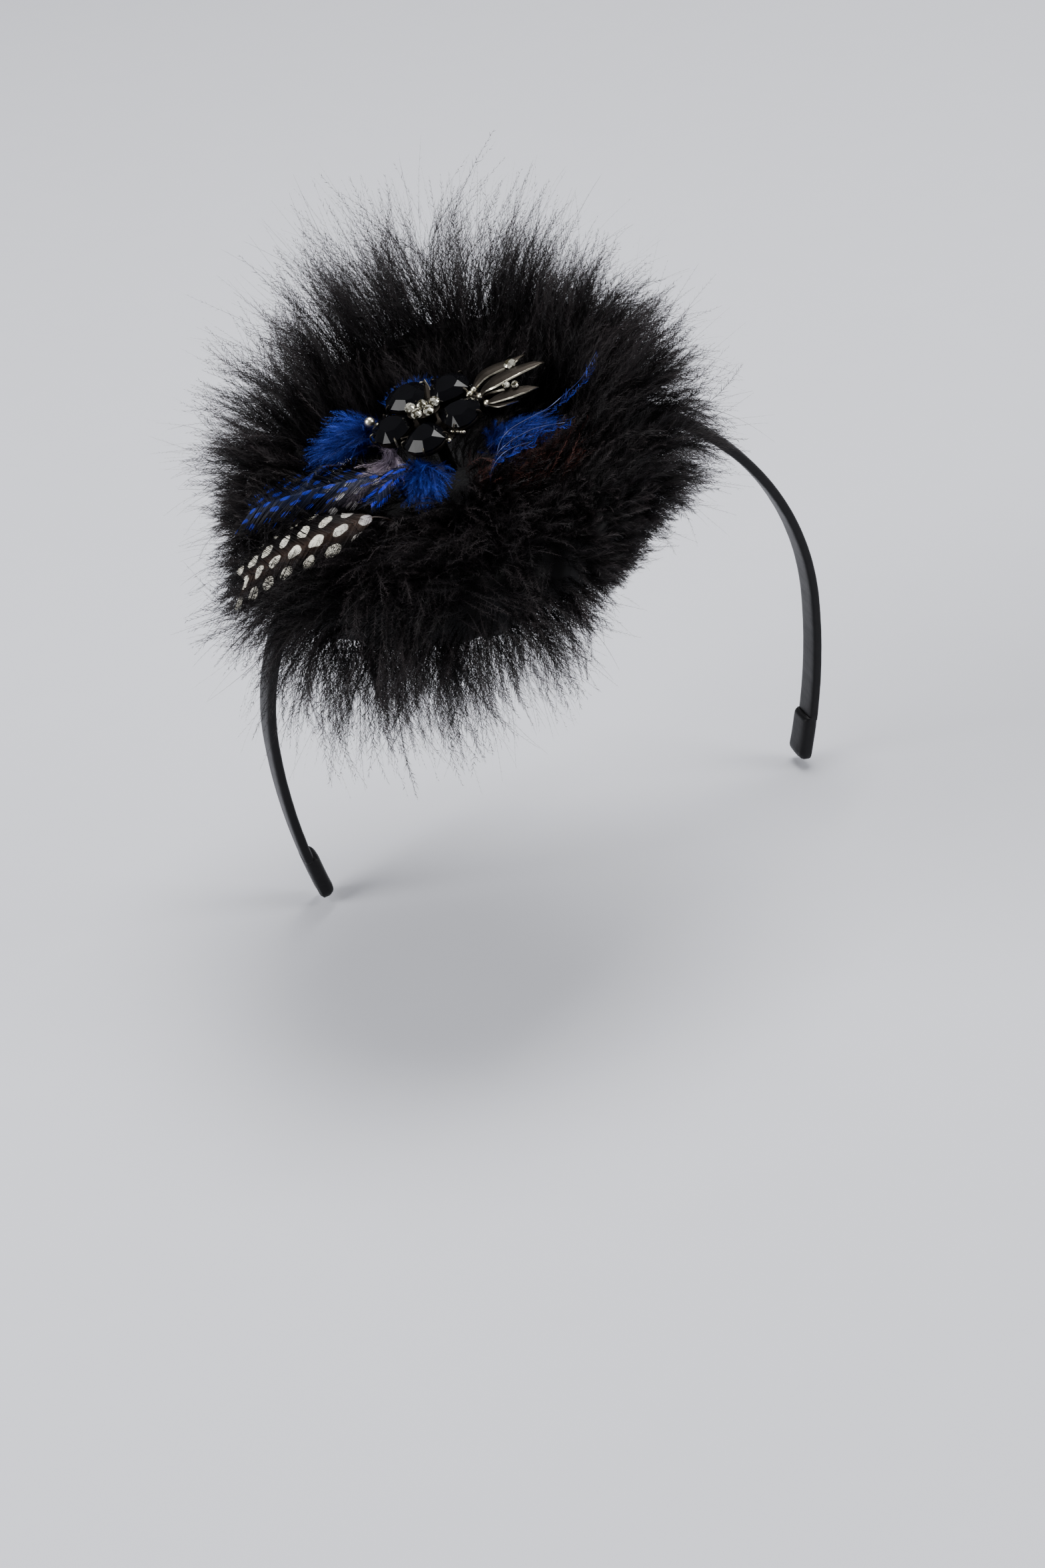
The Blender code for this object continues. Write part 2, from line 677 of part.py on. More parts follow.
# Stones of the spray: the joint that each stem starts from, the place, the size.
SPRAY_STONES = (
    {"joint": 1, "at": (22.4, -1.0), "height": 2.9, "size": 2.9},
    {"joint": 2, "at": (19.1, -7.0), "height": 2.5, "size": 1.8},
    {"joint": 2, "at": (20.9, -8.3), "height": 2.5, "size": 1.8},
)

# Leaf between the upper petals: turn from the middle line, reach and height of each of its two tips.
SEPAL_TIPS = ((4.5, 12.3, 0.5), (-9.0, 11.8, -0.3))

# Beads of the lower edge, as outward and sideways from the middle line between two petals.
BEAD_ROW = ((9.4, 0.8), (10.05, 1.2), (10.7, 1.65), (11.4, 2.1), (12.05, 2.5))
BEAD_RADIUS = 0.42
BEAD_HEIGHT = -0.8
LONE_BEAD = (11.2, -1.4)
LONE_BEAD_RADIUS = 0.65

# Claw seen from its side, as outward from the stone's edge and height: a foot and an upright.
# A drop stone's side lies a little inside half its width, because the drop narrows.
PETAL_SIDE = PETAL_WIDTH * 0.445
CLAW_TOP = PETAL_GIRDLE + 0.75
CLAW_PROFILE = ((-1.6, -1.5), (0.76, -1.5), (0.76, CLAW_TOP), (0.32, CLAW_TOP), (0.32, -0.62),
                (-1.6, -0.62))


def flower_frame():
    return disc_frame(FLOWER_U, FLOWER_W, FLOWER_H)


def cluster_frame(along=0.0, across=0.0, height=0.0):
    """A frame in the cluster of crystals, in pitches along and across its rows."""
    row = Matrix.Translation((*CLUSTER_SHIFT, height)) @ Matrix.Rotation(math.radians(CLUSTER_TURN), 4, "Z")
    return row @ Matrix.Translation((along * CLUSTER_PITCH, across * CLUSTER_PITCH, 0.0))


def turned(angle, distance, height=0.0):
    """A frame in the flower's plane: x points outward at an angle, at a distance from the middle."""
    return Matrix.Rotation(math.radians(angle), 4, "Z") @ Matrix.Translation((distance, 0.0, height))


def add_prism(mesh, outline, low, high, frame=Matrix.Identity(4), top_scale=1.0):
    """An upright prism or frustum on an outline."""
    bottom = [frame @ Vector((x, y, low)) for x, y in outline]
    top = [frame @ Vector((x * top_scale, y * top_scale, high)) for x, y in outline]
    loft(mesh, [bottom, top])


def circle(radius, sides):
    turns = [2 * math.pi * side / sides for side in range(sides)]
    return [(radius * math.cos(turn), radius * math.sin(turn)) for turn in turns]


def add_ball(mesh, place, radius):
    bmesh.ops.create_icosphere(mesh, subdivisions=1, radius=radius, matrix=Matrix.Translation(place))


def add_ribbon(mesh, path, half_widths, thickness):
    """A leaf or wire along a path: flat below and ridged above, with its width level."""
    sections = []
    for index, (point, half) in enumerate(zip(path, half_widths)):
        tangent = (path[min(index + 1, len(path) - 1)] - path[max(index - 1, 0)]).normalized()
        across = tangent.cross(Vector((0, 0, 1))).normalized()
        face = across.cross(tangent)
        ridge = point + face * thickness
        sections.append([
            point - across * half, ridge - across * half * 0.2, ridge + across * half * 0.2,
            point + across * half, point - face * thickness * 0.6,
        ])
    loft(mesh, sections)


def arched_path(start, end, rise, bend, steps):
    """A path from start to end that rises to an arch and bends sideways."""
    path = []
    run = end - start
    side = Vector((-run.y, run.x, 0.0)).normalized()
    for step in range(steps + 1):
        part = step / steps
        bulge = math.sin(math.pi * part)
        path.append(start + run * part + side * bend * bulge + Vector((0, 0, rise)) * bulge)
    return path


def add_arm(mesh, angle, reach, height, half_widths, thickness, dip=0.0):
    """A strip from under the middle of the flower outwards, at an angle, to a height at its tip."""
    start = turned(angle, 3.0) @ Vector((0, 0, -1.9))
    end = turned(angle, reach) @ Vector((0, 0, height))
    add_ribbon(mesh, arched_path(start, end, dip, 0.0, len(half_widths) - 1), half_widths, thickness)


def make_brooch_setting(material):
    """The gunmetal setting: plate, seats, claws, cluster cup, sepals, spray and post, joined in one."""
    post_length = FLOWER_H - GAP
    plate = bmesh.new()
    add_prism(plate, circle(6.2, 12), -2.6, -1.4)
    body = finish("brooch_setting", plate, material, frame=flower_frame())

    parts = bmesh.new()
    add_prism(parts, circle(1.5, 8), -post_length, -2.0)
    add_prism(parts, circle(2.3, 10), -1.8, 1.2)
    cluster_cup = [(x * 2.4, y * 1.6) for x, y in circle(1.0, 12)]
    add_prism(parts, cluster_cup, 1.0, CLUSTER_HEIGHT - GAP, cluster_frame(), top_scale=1.75)
    for petal in range(PETALS):
        angle = FLOWER_TURN + 360 / PETALS * petal
        frame = turned(angle, PETAL_AT)
        seat = stone_outline(PETAL_LENGTH * 0.86, PETAL_WIDTH * 0.86, 12, PETAL_POINT)
        add_prism(parts, seat, -GAP - SEAT_THICKNESS, -GAP, frame)
        for x, y, spin in ((PETAL_LENGTH / 2, 0, 0), (0.8, PETAL_SIDE, 90), (0.8, -PETAL_SIDE, -90)):
            reach = Matrix.Translation((x, y, 0)) @ Matrix.Rotation(math.radians(spin), 4, "Z")
            sideways = Matrix.Rotation(math.radians(90), 4, "X")
            add_prism(parts, CLAW_PROFILE, -0.42, 0.42, frame @ reach @ sideways)
    sepal_widths = (0.7, 0.7, 0.8, 1.0, 0.9, 0.3)
    for spread, reach, height in SEPAL_TIPS:
        add_arm(parts, BETWEEN_PETALS + spread, reach, height, sepal_widths, 0.4, dip=-0.8)
    add_arm(parts, BETWEEN_PETALS + 83, 13.8, -0.9, (0.7, 0.7, 0.6, 0.5), 0.5)
    add_ball(parts, turned(BETWEEN_PETALS + 83, 14.4) @ Vector((0, 0, 0.2)), 1.35)
    add_arm(parts, BETWEEN_PETALS + 144, 9.6, 1.0, (0.7, 0.5, 0.4, 0.3), 0.4)
    add_arm(parts, BETWEEN_PETALS + 216, 11.0, BEAD_HEIGHT - 0.6, (0.7, 0.6, 0.6, 0.5), 0.4)
    row_frame = turned(BETWEEN_PETALS + 216, 0.0)
    for outward, sideways in BEAD_ROW:
        add_ball(parts, row_frame @ Vector((outward, sideways, BEAD_HEIGHT)), BEAD_RADIUS)
    add_ball(parts, row_frame @ Vector((*LONE_BEAD, BEAD_HEIGHT - 0.2)), LONE_BEAD_RADIUS)
    for start, end in ((BEAD_ROW[0], BEAD_ROW[-1]), (BEAD_ROW[1], LONE_BEAD)):
        wire = [row_frame @ Vector((*place, BEAD_HEIGHT - 0.4)) for place in (start, end)]
        add_ribbon(parts, wire, (0.35, 0.35), 0.3)

    balls = [Vector(place) for place in SPRAY_BALLS]
    stem_end = balls[2] + Vector((0.4, 0.0, -1.1))
    add_ribbon(parts, [Vector((4.0, 0.0, -1.9)), Vector((8.0, -1.6, -1.5)), stem_end], (0.9,) * 3, 0.6)
    for ball in balls:
        add_ball(parts, ball, 0.75)
        add_ribbon(parts, [stem_end, ball + Vector((0.0, 0.0, -0.3))], (0.55, 0.55), 0.45)
    for places, half_widths in SPRAY_LEAVES:
        path = smooth_path([Vector(place) for place in places], 2)
        widths = [half_widths[0]]
        for low, high in zip(half_widths, half_widths[1:]):
            widths += [(low + high) / 2, high]
        add_ribbon(parts, path, widths, 0.45)
    for stone in SPRAY_STONES:
        rim = stone["height"] - GAP
        end = Vector((*stone["at"], rim - 0.5))
        add_ribbon(parts, arched_path(balls[stone["joint"]], end, 0.3, 0.0, 4), (0.4,) * 5, 0.4)
        cup = Matrix.Translation((*stone["at"], 0.0))
        add_prism(parts, circle(stone["size"] * 0.42, 8), rim - 1.1, rim, cup)
    cutter = finish("brooch_setting_parts", parts, material, frame=flower_frame())
    cutter.hide_render = True
    cutter.display_type = "WIRE"
    union = body.modifiers.new("solder", "BOOLEAN")
    union.operation = "UNION"
    union.object = cutter
    union.use_self = True
    return body


def main():
    for thing in list(bpy.data.objects):
        bpy.data.objects.remove(thing, do_unlink=True)
    chance = random.Random(RANDOM_SEED)
    satin = plain_material("black_satin", (0.012, 0.012, 0.014), 0.5)
    backing = plain_material("black_backing", (0.014, 0.013, 0.014), 0.9)
    marabou = plain_material("black_marabou", (0.016, 0.013, 0.016), 0.85)
    blue = plain_material("blue_fluff", (0.01, 0.03, 0.28), 0.8)
    guinea = plain_material("spotted_feather", (0.35, 0.3, 0.26), 0.6)
    blue_vane = plain_material("blue_spotted_vane", (0.01, 0.02, 0.2), 0.6)
    grey_vane = plain_material("grey_spotted_vane", (0.25, 0.24, 0.28), 0.6)
    gunmetal = plain_material("gunmetal", (0.16, 0.13, 0.11), 0.28, 1.0)
    jet = plain_material("jet", (0.004, 0.004, 0.005), 0.08)
    crystal = plain_material("crystal", (0.9, 0.9, 0.88), 0.05)

    make_headband(satin)
    make_sleeve("tip_sleeve_right", satin, True)
    make_sleeve("tip_sleeve_left", satin, False)
    make_base(backing)
    make_marabou_ring(marabou, chance)
    for name, plan in TUFTS.items():
        make_tuft(name, plan, blue, chance)
    vanes = {"guinea_feather": guinea, "blue_spotted_feather": blue_vane, "grey_spotted_feather": grey_vane}
    for name, plan in FEATHERS.items():
        make_feather(name, plan, vanes[name])
    for name, plan in CURLS.items():
        make_curl(name, plan, blue_vane)
    make_brooch_setting(gunmetal)
    for petal in range(PETALS):
        frame = flower_frame() @ turned(FLOWER_TURN + 72 * petal, PETAL_AT)
        make_stone(f"jet_stone_{petal + 1}", frame, PETAL_LENGTH, PETAL_WIDTH, PETAL_GIRDLE, PETAL_CROWN,
                   PETAL_POINT, jet)
    for number, (along, across) in enumerate(CLUSTER_ROWS, 1):
        frame = flower_frame() @ cluster_frame(along, across, CLUSTER_HEIGHT)
        make_stone(f"centre_crystal_{number}", frame, CLUSTER_STONE, CLUSTER_STONE, 0.7, 0.8, 0.0, crystal)
    for number, stone in enumerate(SPRAY_STONES, 1):
        frame = flower_frame() @ Matrix.Translation((*stone["at"], stone["height"]))
        make_stone(f"spray_crystal_{number}", frame, stone["size"], stone["size"], 0.5, 0.6, 0.0, crystal)


main()
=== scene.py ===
# %% [markdown]
# # Feather fascinator
# A ring of black marabou sits on one side of a satin headband, with blue down, spotted and curling
# feathers and a jewelled brooch inside it. The solid model comes in as a fixed frame. This lesson dresses
# it: modelled feathers or cloth replace each soft solid, and each hard one gets a finish.

# %% Load the frame
import math

import bpy
import numpy as np
from mathutils import Matrix, Vector


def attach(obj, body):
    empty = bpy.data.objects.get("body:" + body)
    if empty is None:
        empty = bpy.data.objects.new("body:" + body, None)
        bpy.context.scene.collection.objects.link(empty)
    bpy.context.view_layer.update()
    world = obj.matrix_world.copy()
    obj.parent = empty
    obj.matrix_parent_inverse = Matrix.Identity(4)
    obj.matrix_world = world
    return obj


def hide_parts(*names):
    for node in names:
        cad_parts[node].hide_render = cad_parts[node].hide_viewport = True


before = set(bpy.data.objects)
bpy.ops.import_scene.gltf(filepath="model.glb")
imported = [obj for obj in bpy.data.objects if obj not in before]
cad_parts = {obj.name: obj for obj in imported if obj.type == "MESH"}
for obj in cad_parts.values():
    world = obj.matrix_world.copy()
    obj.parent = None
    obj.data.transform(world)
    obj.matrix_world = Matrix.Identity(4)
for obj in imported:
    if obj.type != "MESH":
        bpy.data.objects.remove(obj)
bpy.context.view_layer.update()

MM = 0.001
GAP = 0.3
print("nodes in the frame:", len(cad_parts))

# %% [markdown]
# ## The places everything is measured from
# The band is half an ellipse with two arms. A shallow dome, part of a sphere, rests on it and leans. On
# the dome u runs to the wearer's left, w runs backwards and h is the height above it, in millimetres.

# %% The band's outline and the dome's own coordinates
BAND_HALF_WIDTH = 74
CROWN_RISE = 71.5
ARM_DROP = 46
TIP_INWARD = 6.7
BAND_WIDTH = 8
BAND_THICKNESS = 2.6
SLEEVE_LENGTH = 12.5
DOME_RADIUS = 95
BASE_THICKNESS = 2
BASE_REACH = 41
SEAT_X = -20
LEAN_X = -0.29
LEAN_Y = -0.26
RING_RADIUS = 42
CORE_RADIUS = 11


def unit(vectors):
    return vectors / np.maximum(np.linalg.norm(vectors, axis=-1, keepdims=True), 1e-9)


seat_z = CROWN_RISE * math.sqrt(1 - (SEAT_X / BAND_HALF_WIDTH) ** 2)
seat_normal = unit(np.array([SEAT_X / BAND_HALF_WIDTH ** 2, 0, seat_z / CROWN_RISE ** 2]))
seat_reach = math.sqrt((DOME_RADIUS - GAP) ** 2 - (BAND_WIDTH / 2) ** 2)
DOME_CENTRE = np.array([SEAT_X, 0, seat_z - CROWN_RISE + BAND_THICKNESS]) - seat_normal * seat_reach
TOP_RADIUS = DOME_RADIUS + BASE_THICKNESS
DISC_UP = np.array([LEAN_X, LEAN_Y, math.sqrt(1 - LEAN_X ** 2 - LEAN_Y ** 2)])
DISC_U = unit(np.array([1, 0, 0]) - DISC_UP * LEAN_X)
DISC_W = np.cross(DISC_UP, DISC_U)


def on_disc(u, w, h):
    """Points at u, w and h, as an array with x, y, z last."""
    u, w, h = np.broadcast_arrays(np.asarray(u, float), w, h)
    rise = np.sqrt((TOP_RADIUS + h) ** 2 - u ** 2 - w ** 2)
    return DOME_CENTRE + u[..., None] * DISC_U + w[..., None] * DISC_W + rise[..., None] * DISC_UP


def cos_sin(degrees):
    angle = np.radians(degrees)
    return np.cos(angle), np.sin(angle)


def at_turn(turn, radius, h):
    """Points at angles in degrees, at a radius round the middle of the dome."""
    cos, sin = cos_sin(turn)
    return on_disc(radius * cos, radius * sin, h)


print("dome centre in mm:", DOME_CENTRE.round(2), "disc points up along", DISC_UP.round(3))

# %% [markdown]
# ## Writing materials as formulas
# One class wraps a socket and teaches Python's own operators to add Math nodes: `1 - mask * 0.5` builds
# two nodes and joins them. Colours never go through a Math node, because that would turn them grey.

# %% A socket that takes part in sums
class Wire:
    """One output socket of a material. Each operator adds one Math node."""

    def __init__(self, finish, socket):
        self.finish = finish
        self.socket = socket

    def maths(self, operation, other=0, turned=False):
        first, second = (other, self) if turned else (self, other)
        return self.finish.add("Math", {"operation": operation}, {0: first, 1: second})

    def __add__(self, other):
        return self.maths("ADD", other)

    def __sub__(self, other):
        return self.maths("SUBTRACT", other)

    def __rsub__(self, other):
        return self.maths("SUBTRACT", other, turned=True)

    def __mul__(self, other):
        return self.maths("MULTIPLY", other)

    def __truediv__(self, other):
        return self.maths("DIVIDE", other)

    def __pow__(self, other):
        return self.maths("POWER", other)

    __radd__ = __add__
    __rmul__ = __mul__

    def above(self, edge, blur):
        """0 below an edge and 1 above it, with a soft step as wide as the blur."""
        limits = {1: edge - blur / 2, 2: edge + blur / 2}
        return self.finish.add("MapRange", {"interpolation_type": "SMOOTHSTEP"}, {0: self, **limits})


print("shader sums ready")

# %% A finish that holds the shader
class Finish:
    """A material with one Principled shader. Constants are set on its own sockets."""

    def __init__(self, name, constants):
        self.material = bpy.data.materials.new(name)
        self.material.use_nodes = True
        self.tree = self.material.node_tree
        self.shader = self.tree.nodes["Principled BSDF"]
        for socket, value in constants.items():
            self.shader.inputs[socket].default_value = value

    def add(self, kind, settings=None, values=None, output=0):
        """Any node: its settings first, then values or links for its sockets."""
        node = self.tree.nodes.new("ShaderNode" + kind)
        for setting, value in (settings or {}).items():
            setattr(node, setting, value)
        for socket, value in (values or {}).items():
            if isinstance(value, Wire):
                self.tree.links.new(value.socket, node.inputs[socket])
            else:
                node.inputs[socket].default_value = value
        return Wire(self, node.outputs[output])

    def place(self):
        return self.add("TexCoord", output="Object")

    def vane_place(self):
        """The UV map of a feather, then its first and its second number."""
        place = self.add("UVMap", {"uv_map": "vane"})
        parts = self.add("SeparateXYZ", None, {0: place}).socket.node.outputs
        return place, Wire(self, parts[0]), Wire(self, parts[1])

    def stretched(self, vector, scale):
        return self.add("VectorMath", {"operation": "MULTIPLY"}, {0: vector, 1: scale})

    def noise(self, vector, scale, detail=2, roughness=0.5):
        values = {"Vector": vector, "Scale": scale, "Detail": detail, "Roughness": roughness}
        return self.add("TexNoise", None, values)

    def mix(self, mask, low, high):
        """Colour low where the mask is 0 and colour high where it is 1."""
        low, high = (shade if isinstance(shade, Wire) else (*shade, 1) for shade in (low, high))
        return self.add("Mix", {"data_type": "RGBA"}, {0: mask, 6: low, 7: high}, output=2)

    def drive(self, socket, wire):
        self.tree.links.new(wire.socket, self.shader.inputs[socket])

    def paint(self, mask, low, high):
        self.drive("Base Color", self.mix(mask, low, high))

    def bump(self, height, distance, strength):
        values = {"Height": height, "Distance": distance, "Strength": strength}
        self.drive("Normal", self.add("Bump", None, values))


print("finishes ready")

# %% [markdown]
# ## From arrays to a piece
# Thousands of barbs are far too many for one modelling operator each. NumPy works out all the corners at
# once, and one helper makes the mesh, gives it its finish and hides the solid of the frame that it replaces.

# %% Helpers for faces
def grid_faces(rows, columns, closed=True):
    """Triangles over a grid of points, joined round each row when it is closed."""
    row, column = np.meshgrid(np.arange(rows - 1), np.arange(columns - (not closed)), indexing="ij")
    a = row * columns + column
    b = row * columns + (column + 1) % columns
    corners = (a, b, b + columns), (a, b + columns, a + columns)
    return np.concatenate([np.stack(three, -1).reshape(-1, 3) for three in corners])


def tube_faces(rows, columns):
    """A closed skin over a grid of rings, with a fan on each end ring."""
    fan = np.arange(1, columns - 1)
    start = np.stack([0 * fan, fan + 1, fan], -1)
    end = np.stack([0 * fan, fan, fan + 1], -1) + (rows - 1) * columns
    return np.concatenate([grid_faces(rows, columns), start, end])


def copied_faces(faces, count, corners):
    """The same faces for each of many copies with so many corners."""
    return (faces + (np.arange(count) * corners)[:, None, None]).reshape(-1, 3)


def join(parts):
    """Join parts, each with points, faces and places, into one. Places are numbers for a UV map."""
    points, faces, places = zip(*parts)
    starts = np.cumsum([0] + [part.size // 3 for part in points])
    return (np.concatenate([part.reshape(-1, 3) for part in points]),
            np.concatenate([part + start for part, start in zip(faces, starts)]),
            np.concatenate([part.reshape(-1, 2) for part in places]))


def pairs(first, second):
    return np.stack(np.broadcast_arrays(first, second), -1)


print("faces of one square:", grid_faces(2, 2, closed=False).tolist())

# %% Helpers that make pieces
def make_piece(name, points, faces, finish, replaced=(), places=None, smooth=True):
    """A mesh object from arrays in millimetres. Places, if given, become a UV map."""
    mesh = bpy.data.meshes.new(name)
    mesh.vertices.add(points.size // 3)
    mesh.vertices.foreach_set("co", (points * MM).astype(np.float32).ravel())
    mesh.loops.add(faces.size)
    mesh.loops.foreach_set("vertex_index", faces.astype(np.int32).ravel())
    mesh.polygons.add(len(faces))
    mesh.polygons.foreach_set("loop_start", np.arange(0, faces.size, 3, dtype=np.int32))
    mesh.update(calc_edges=True)
    if places is not None:
        layer = mesh.uv_layers.new(name="vane")
        layer.data.foreach_set("uv", places[faces.ravel()].astype(np.float32).ravel())
    if smooth:
        mesh.shade_smooth()
    mesh.materials.append(finish.material)
    piece = bpy.data.objects.new(name, mesh)
    bpy.context.scene.collection.objects.link(piece)
    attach(piece, "root")
    if replaced:
        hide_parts(*replaced)
    print(f"{name}: {len(faces)} triangles")
    return piece


def make_tube(name, rings, finish, replaced=()):
    make_piece(name, rings, tube_faces(*rings.shape[:2]), finish, replaced)


def make_down(name, parts, finish, replaced=()):
    points, faces, places = join(parts)
    make_piece(name, points, faces, finish, replaced, places, smooth=False)


def smooth_path(points, steps):
    """Catmull-Rom points through the given ones, with a number of steps for each stretch."""
    points = np.asarray(points, float)
    ends = np.concatenate([[2 * points[0] - points[1]], points, [2 * points[-1] - points[-2]]])
    t = (np.arange(steps) / steps)[:, None]
    path = []
    for p0, p1, p2, p3 in zip(ends, ends[1:], ends[2:], ends[3:]):
        square = (2 * p0 - 5 * p1 + 4 * p2 - p3) * t ** 2
        cube = (3 * p1 - p0 - 3 * p2 + p3) * t ** 3
        path.append(0.5 * (2 * p1 + (p2 - p0) * t + square + cube))
    return np.concatenate(path + [points[-1:]])


def travelled(line):
    """The distance travelled at each point of a line."""
    return np.concatenate([[0], np.cumsum(np.linalg.norm(np.diff(line, axis=0), axis=1))])


def read_off(line, travel, distance):
    """Points or directions at distances along a line."""
    return np.stack([np.interp(distance, travel, line[:, axis]) for axis in range(3)], -1)


def round_rings(path, side, other, radius, sides):
    """Circles along a path, between two directions at each of its points."""
    angle = 2 * np.pi * np.arange(sides)[:, None] / sides
    section = side[:, None] * np.cos(angle) + other[:, None] * np.sin(angle)
    return path[:, None] + section * radius[:, None, None]


print("helpers for pieces ready")

# %% [markdown]
# ## Satin on the headband
# Satin has a soft wide highlight along its length and faint puckers across, where the cloth turns over
# the edges. The strip is lofted: one rounded section is carried along the outline.

# %% The satin finish
def satin_finish():
    finish = Finish("black_satin", {"Specular IOR Level": 0.2})
    place = finish.place()
    puckers = finish.noise(finish.stretched(place, (260, 60, 260)), 1, 3)
    threads = finish.noise(finish.stretched(place, (900, 5200, 900)), 1, 1)
    wear = finish.noise(place, 90, 3)
    finish.paint(wear, (0.002, 0.002, 0.0025), (0.006, 0.0055, 0.0065))
    finish.drive("Roughness", 0.34 + wear * 0.12 + threads * 0.1)
    finish.bump(puckers * 0.8 + threads * 0.12, 0.00035, 0.8)
    return finish


SATIN = satin_finish()
print("finish:", SATIN.material.name)

# %% The band's outline and the band
def band_outline(crown_steps=150, arm_steps=48):
    """Points and inward normals along the band's outer face, from the wearer's right to the left."""
    down = np.arange(arm_steps, 0, -1) / arm_steps
    angle = np.pi * (1 - np.arange(crown_steps + 1) / crown_steps)
    arm_x = BAND_HALF_WIDTH - TIP_INWARD * down ** 2
    x = np.concatenate([-arm_x, BAND_HALF_WIDTH * np.cos(angle), arm_x[::-1]])
    z = np.concatenate([-ARM_DROP * down, CROWN_RISE * np.sin(angle), -ARM_DROP * down[::-1]])
    points = np.stack([x, np.zeros_like(x), z - CROWN_RISE + BAND_THICKNESS], -1)
    tangent = unit(np.gradient(points, axis=0))
    return points, np.stack([tangent[:, 2], np.zeros_like(x), -tangent[:, 0]], -1)


BAND_POINTS, BAND_INWARD = band_outline()
BAND_TRAVEL = travelled(BAND_POINTS)
BAND_LENGTH = BAND_TRAVEL[-1]


def band_rings(distance, width, thickness, shift, sides, power):
    """Rounded sections across the band, shifted inwards."""
    points = read_off(BAND_POINTS, BAND_TRAVEL, distance)
    inward = unit(read_off(BAND_INWARD, BAND_TRAVEL, distance))
    angle = 2 * np.pi * (np.arange(sides) + 0.5) / sides
    across, deep = (np.sign(wave) * np.abs(wave) ** power for wave in (np.cos(angle), np.sin(angle)))
    middle = points + inward * (shift + thickness / 2)[:, None]
    return (middle[:, None] + np.array([0, 1, 0]) * (across * width[:, None] / 2)[..., None]
            + inward[:, None] * (deep * thickness[:, None] / 2)[..., None])


def make_band():
    start = SLEEVE_LENGTH - 0.6
    distance = np.linspace(start, BAND_LENGTH - start, 320)
    swell = 1 + 0.012 * np.sin(distance * 0.9) * np.sin(distance * 0.37 + 1)
    rings = band_rings(distance, BAND_WIDTH * swell, BAND_THICKNESS * (2 - swell), 0 * swell, 28, 0.42)
    make_tube("satin_band", rings, SATIN, ["headband"])


make_band()

# %% [markdown]
# ## The padded tips
# At each end the ribbon is doubled back into a small pad, flush with the band outside and thicker
# inside. Its rounded end has a few gathers where the cloth is tucked in.

# %% Two padded tips
TIP_THICKNESS = BAND_THICKNESS + 1.5
TIP_SIDES = 48
TIP_GATHERS = 9


def make_tip(name, node, from_start):
    place = np.linspace(0.15, SLEEVE_LENGTH, 40)
    closing = np.sqrt(1 - np.clip(1 - place / 2.6, 0, 1) ** 2.4)
    mouth = 1 - 0.16 * np.clip((place - SLEEVE_LENGTH + 1.1) / 1.1, 0, 1) ** 2
    width = (BAND_WIDTH + 0.4) * (0.45 + 0.55 * closing) * (1 - 0.02 * np.clip(place - 10, 0, 3))
    thick = TIP_THICKNESS * (0.2 + 0.8 * closing) * mouth
    shift = -0.1 + (TIP_THICKNESS - thick) * 0.5 * (1 - closing)
    distance = place if from_start else BAND_LENGTH - place
    rings = band_rings(distance, width, thick, shift, TIP_SIDES, 0.55)
    gathers = np.sin(np.arange(TIP_SIDES) * 2 * np.pi / TIP_SIDES * TIP_GATHERS) * 0.10
    fade = np.clip(1 - place / 5.5, 0, 1)[:, None]
    rings += unit(rings - rings.mean(axis=1, keepdims=True)) * (gathers * fade)[..., None]
    make_tube(name, rings, SATIN, [node])


make_tip("padded_tip_right", "tip_sleeve_right", True)
make_tip("padded_tip_left", "tip_sleeve_left", False)

# %% [markdown]
# ## The stiffened backing
# Milliners build on buckram, a stiff open cloth, covered in black felt. It is a lathed shape: one profile
# with a softly rolled rim is swept round the dome's own axis.

# %% The felt finish and the backing
def felt_finish():
    finish = Finish("black_felt", {"Roughness": 0.95, "Sheen Weight": 0.25, "Specular IOR Level": 0.2})
    place = finish.place()
    fibres = finish.noise(place, 1400, 4, 0.65)
    patches = finish.noise(place, 120, 2)
    finish.paint(fibres * 0.6 + patches * 0.4, (0.006, 0.006, 0.007), (0.022, 0.021, 0.023))
    finish.bump(fibres, 0.0004, 0.7)
    return finish


def make_backing(sides=96, steps=24):
    rim = BASE_REACH / TOP_RADIUS
    inner = rim * np.linspace(0.001, 0.985, steps)
    roll = np.linspace(np.pi / 2, -np.pi / 2, 9)[1:-1]
    tilt = np.concatenate([inner, rim * (0.985 + 0.015 * np.cos(roll)), inner[::-1]])[:, None, None]
    lift = np.concatenate([np.full(steps, 1), np.sin(roll), np.full(steps, -1)])
    radius = DOME_RADIUS + (1 + lift) * BASE_THICKNESS / 2
    turn = 2 * np.pi * np.arange(sides)[:, None] / sides
    across = np.cos(turn) * DISC_U + np.sin(turn) * DISC_W
    points = DOME_CENTRE + (np.cos(tilt) * DISC_UP + np.sin(tilt) * across) * radius[:, None, None]
    faces = tube_faces(*points.shape[:2])[:, ::-1]
    make_piece("felt_backing", points, faces, felt_finish(), ["feather_base"])


make_backing()

# %% [markdown]
# ## The feathers' lines
# Each feather follows a spine from the backing, up through the middle and out over the ring. The spines
# come first, because the down has to stay low beneath them.

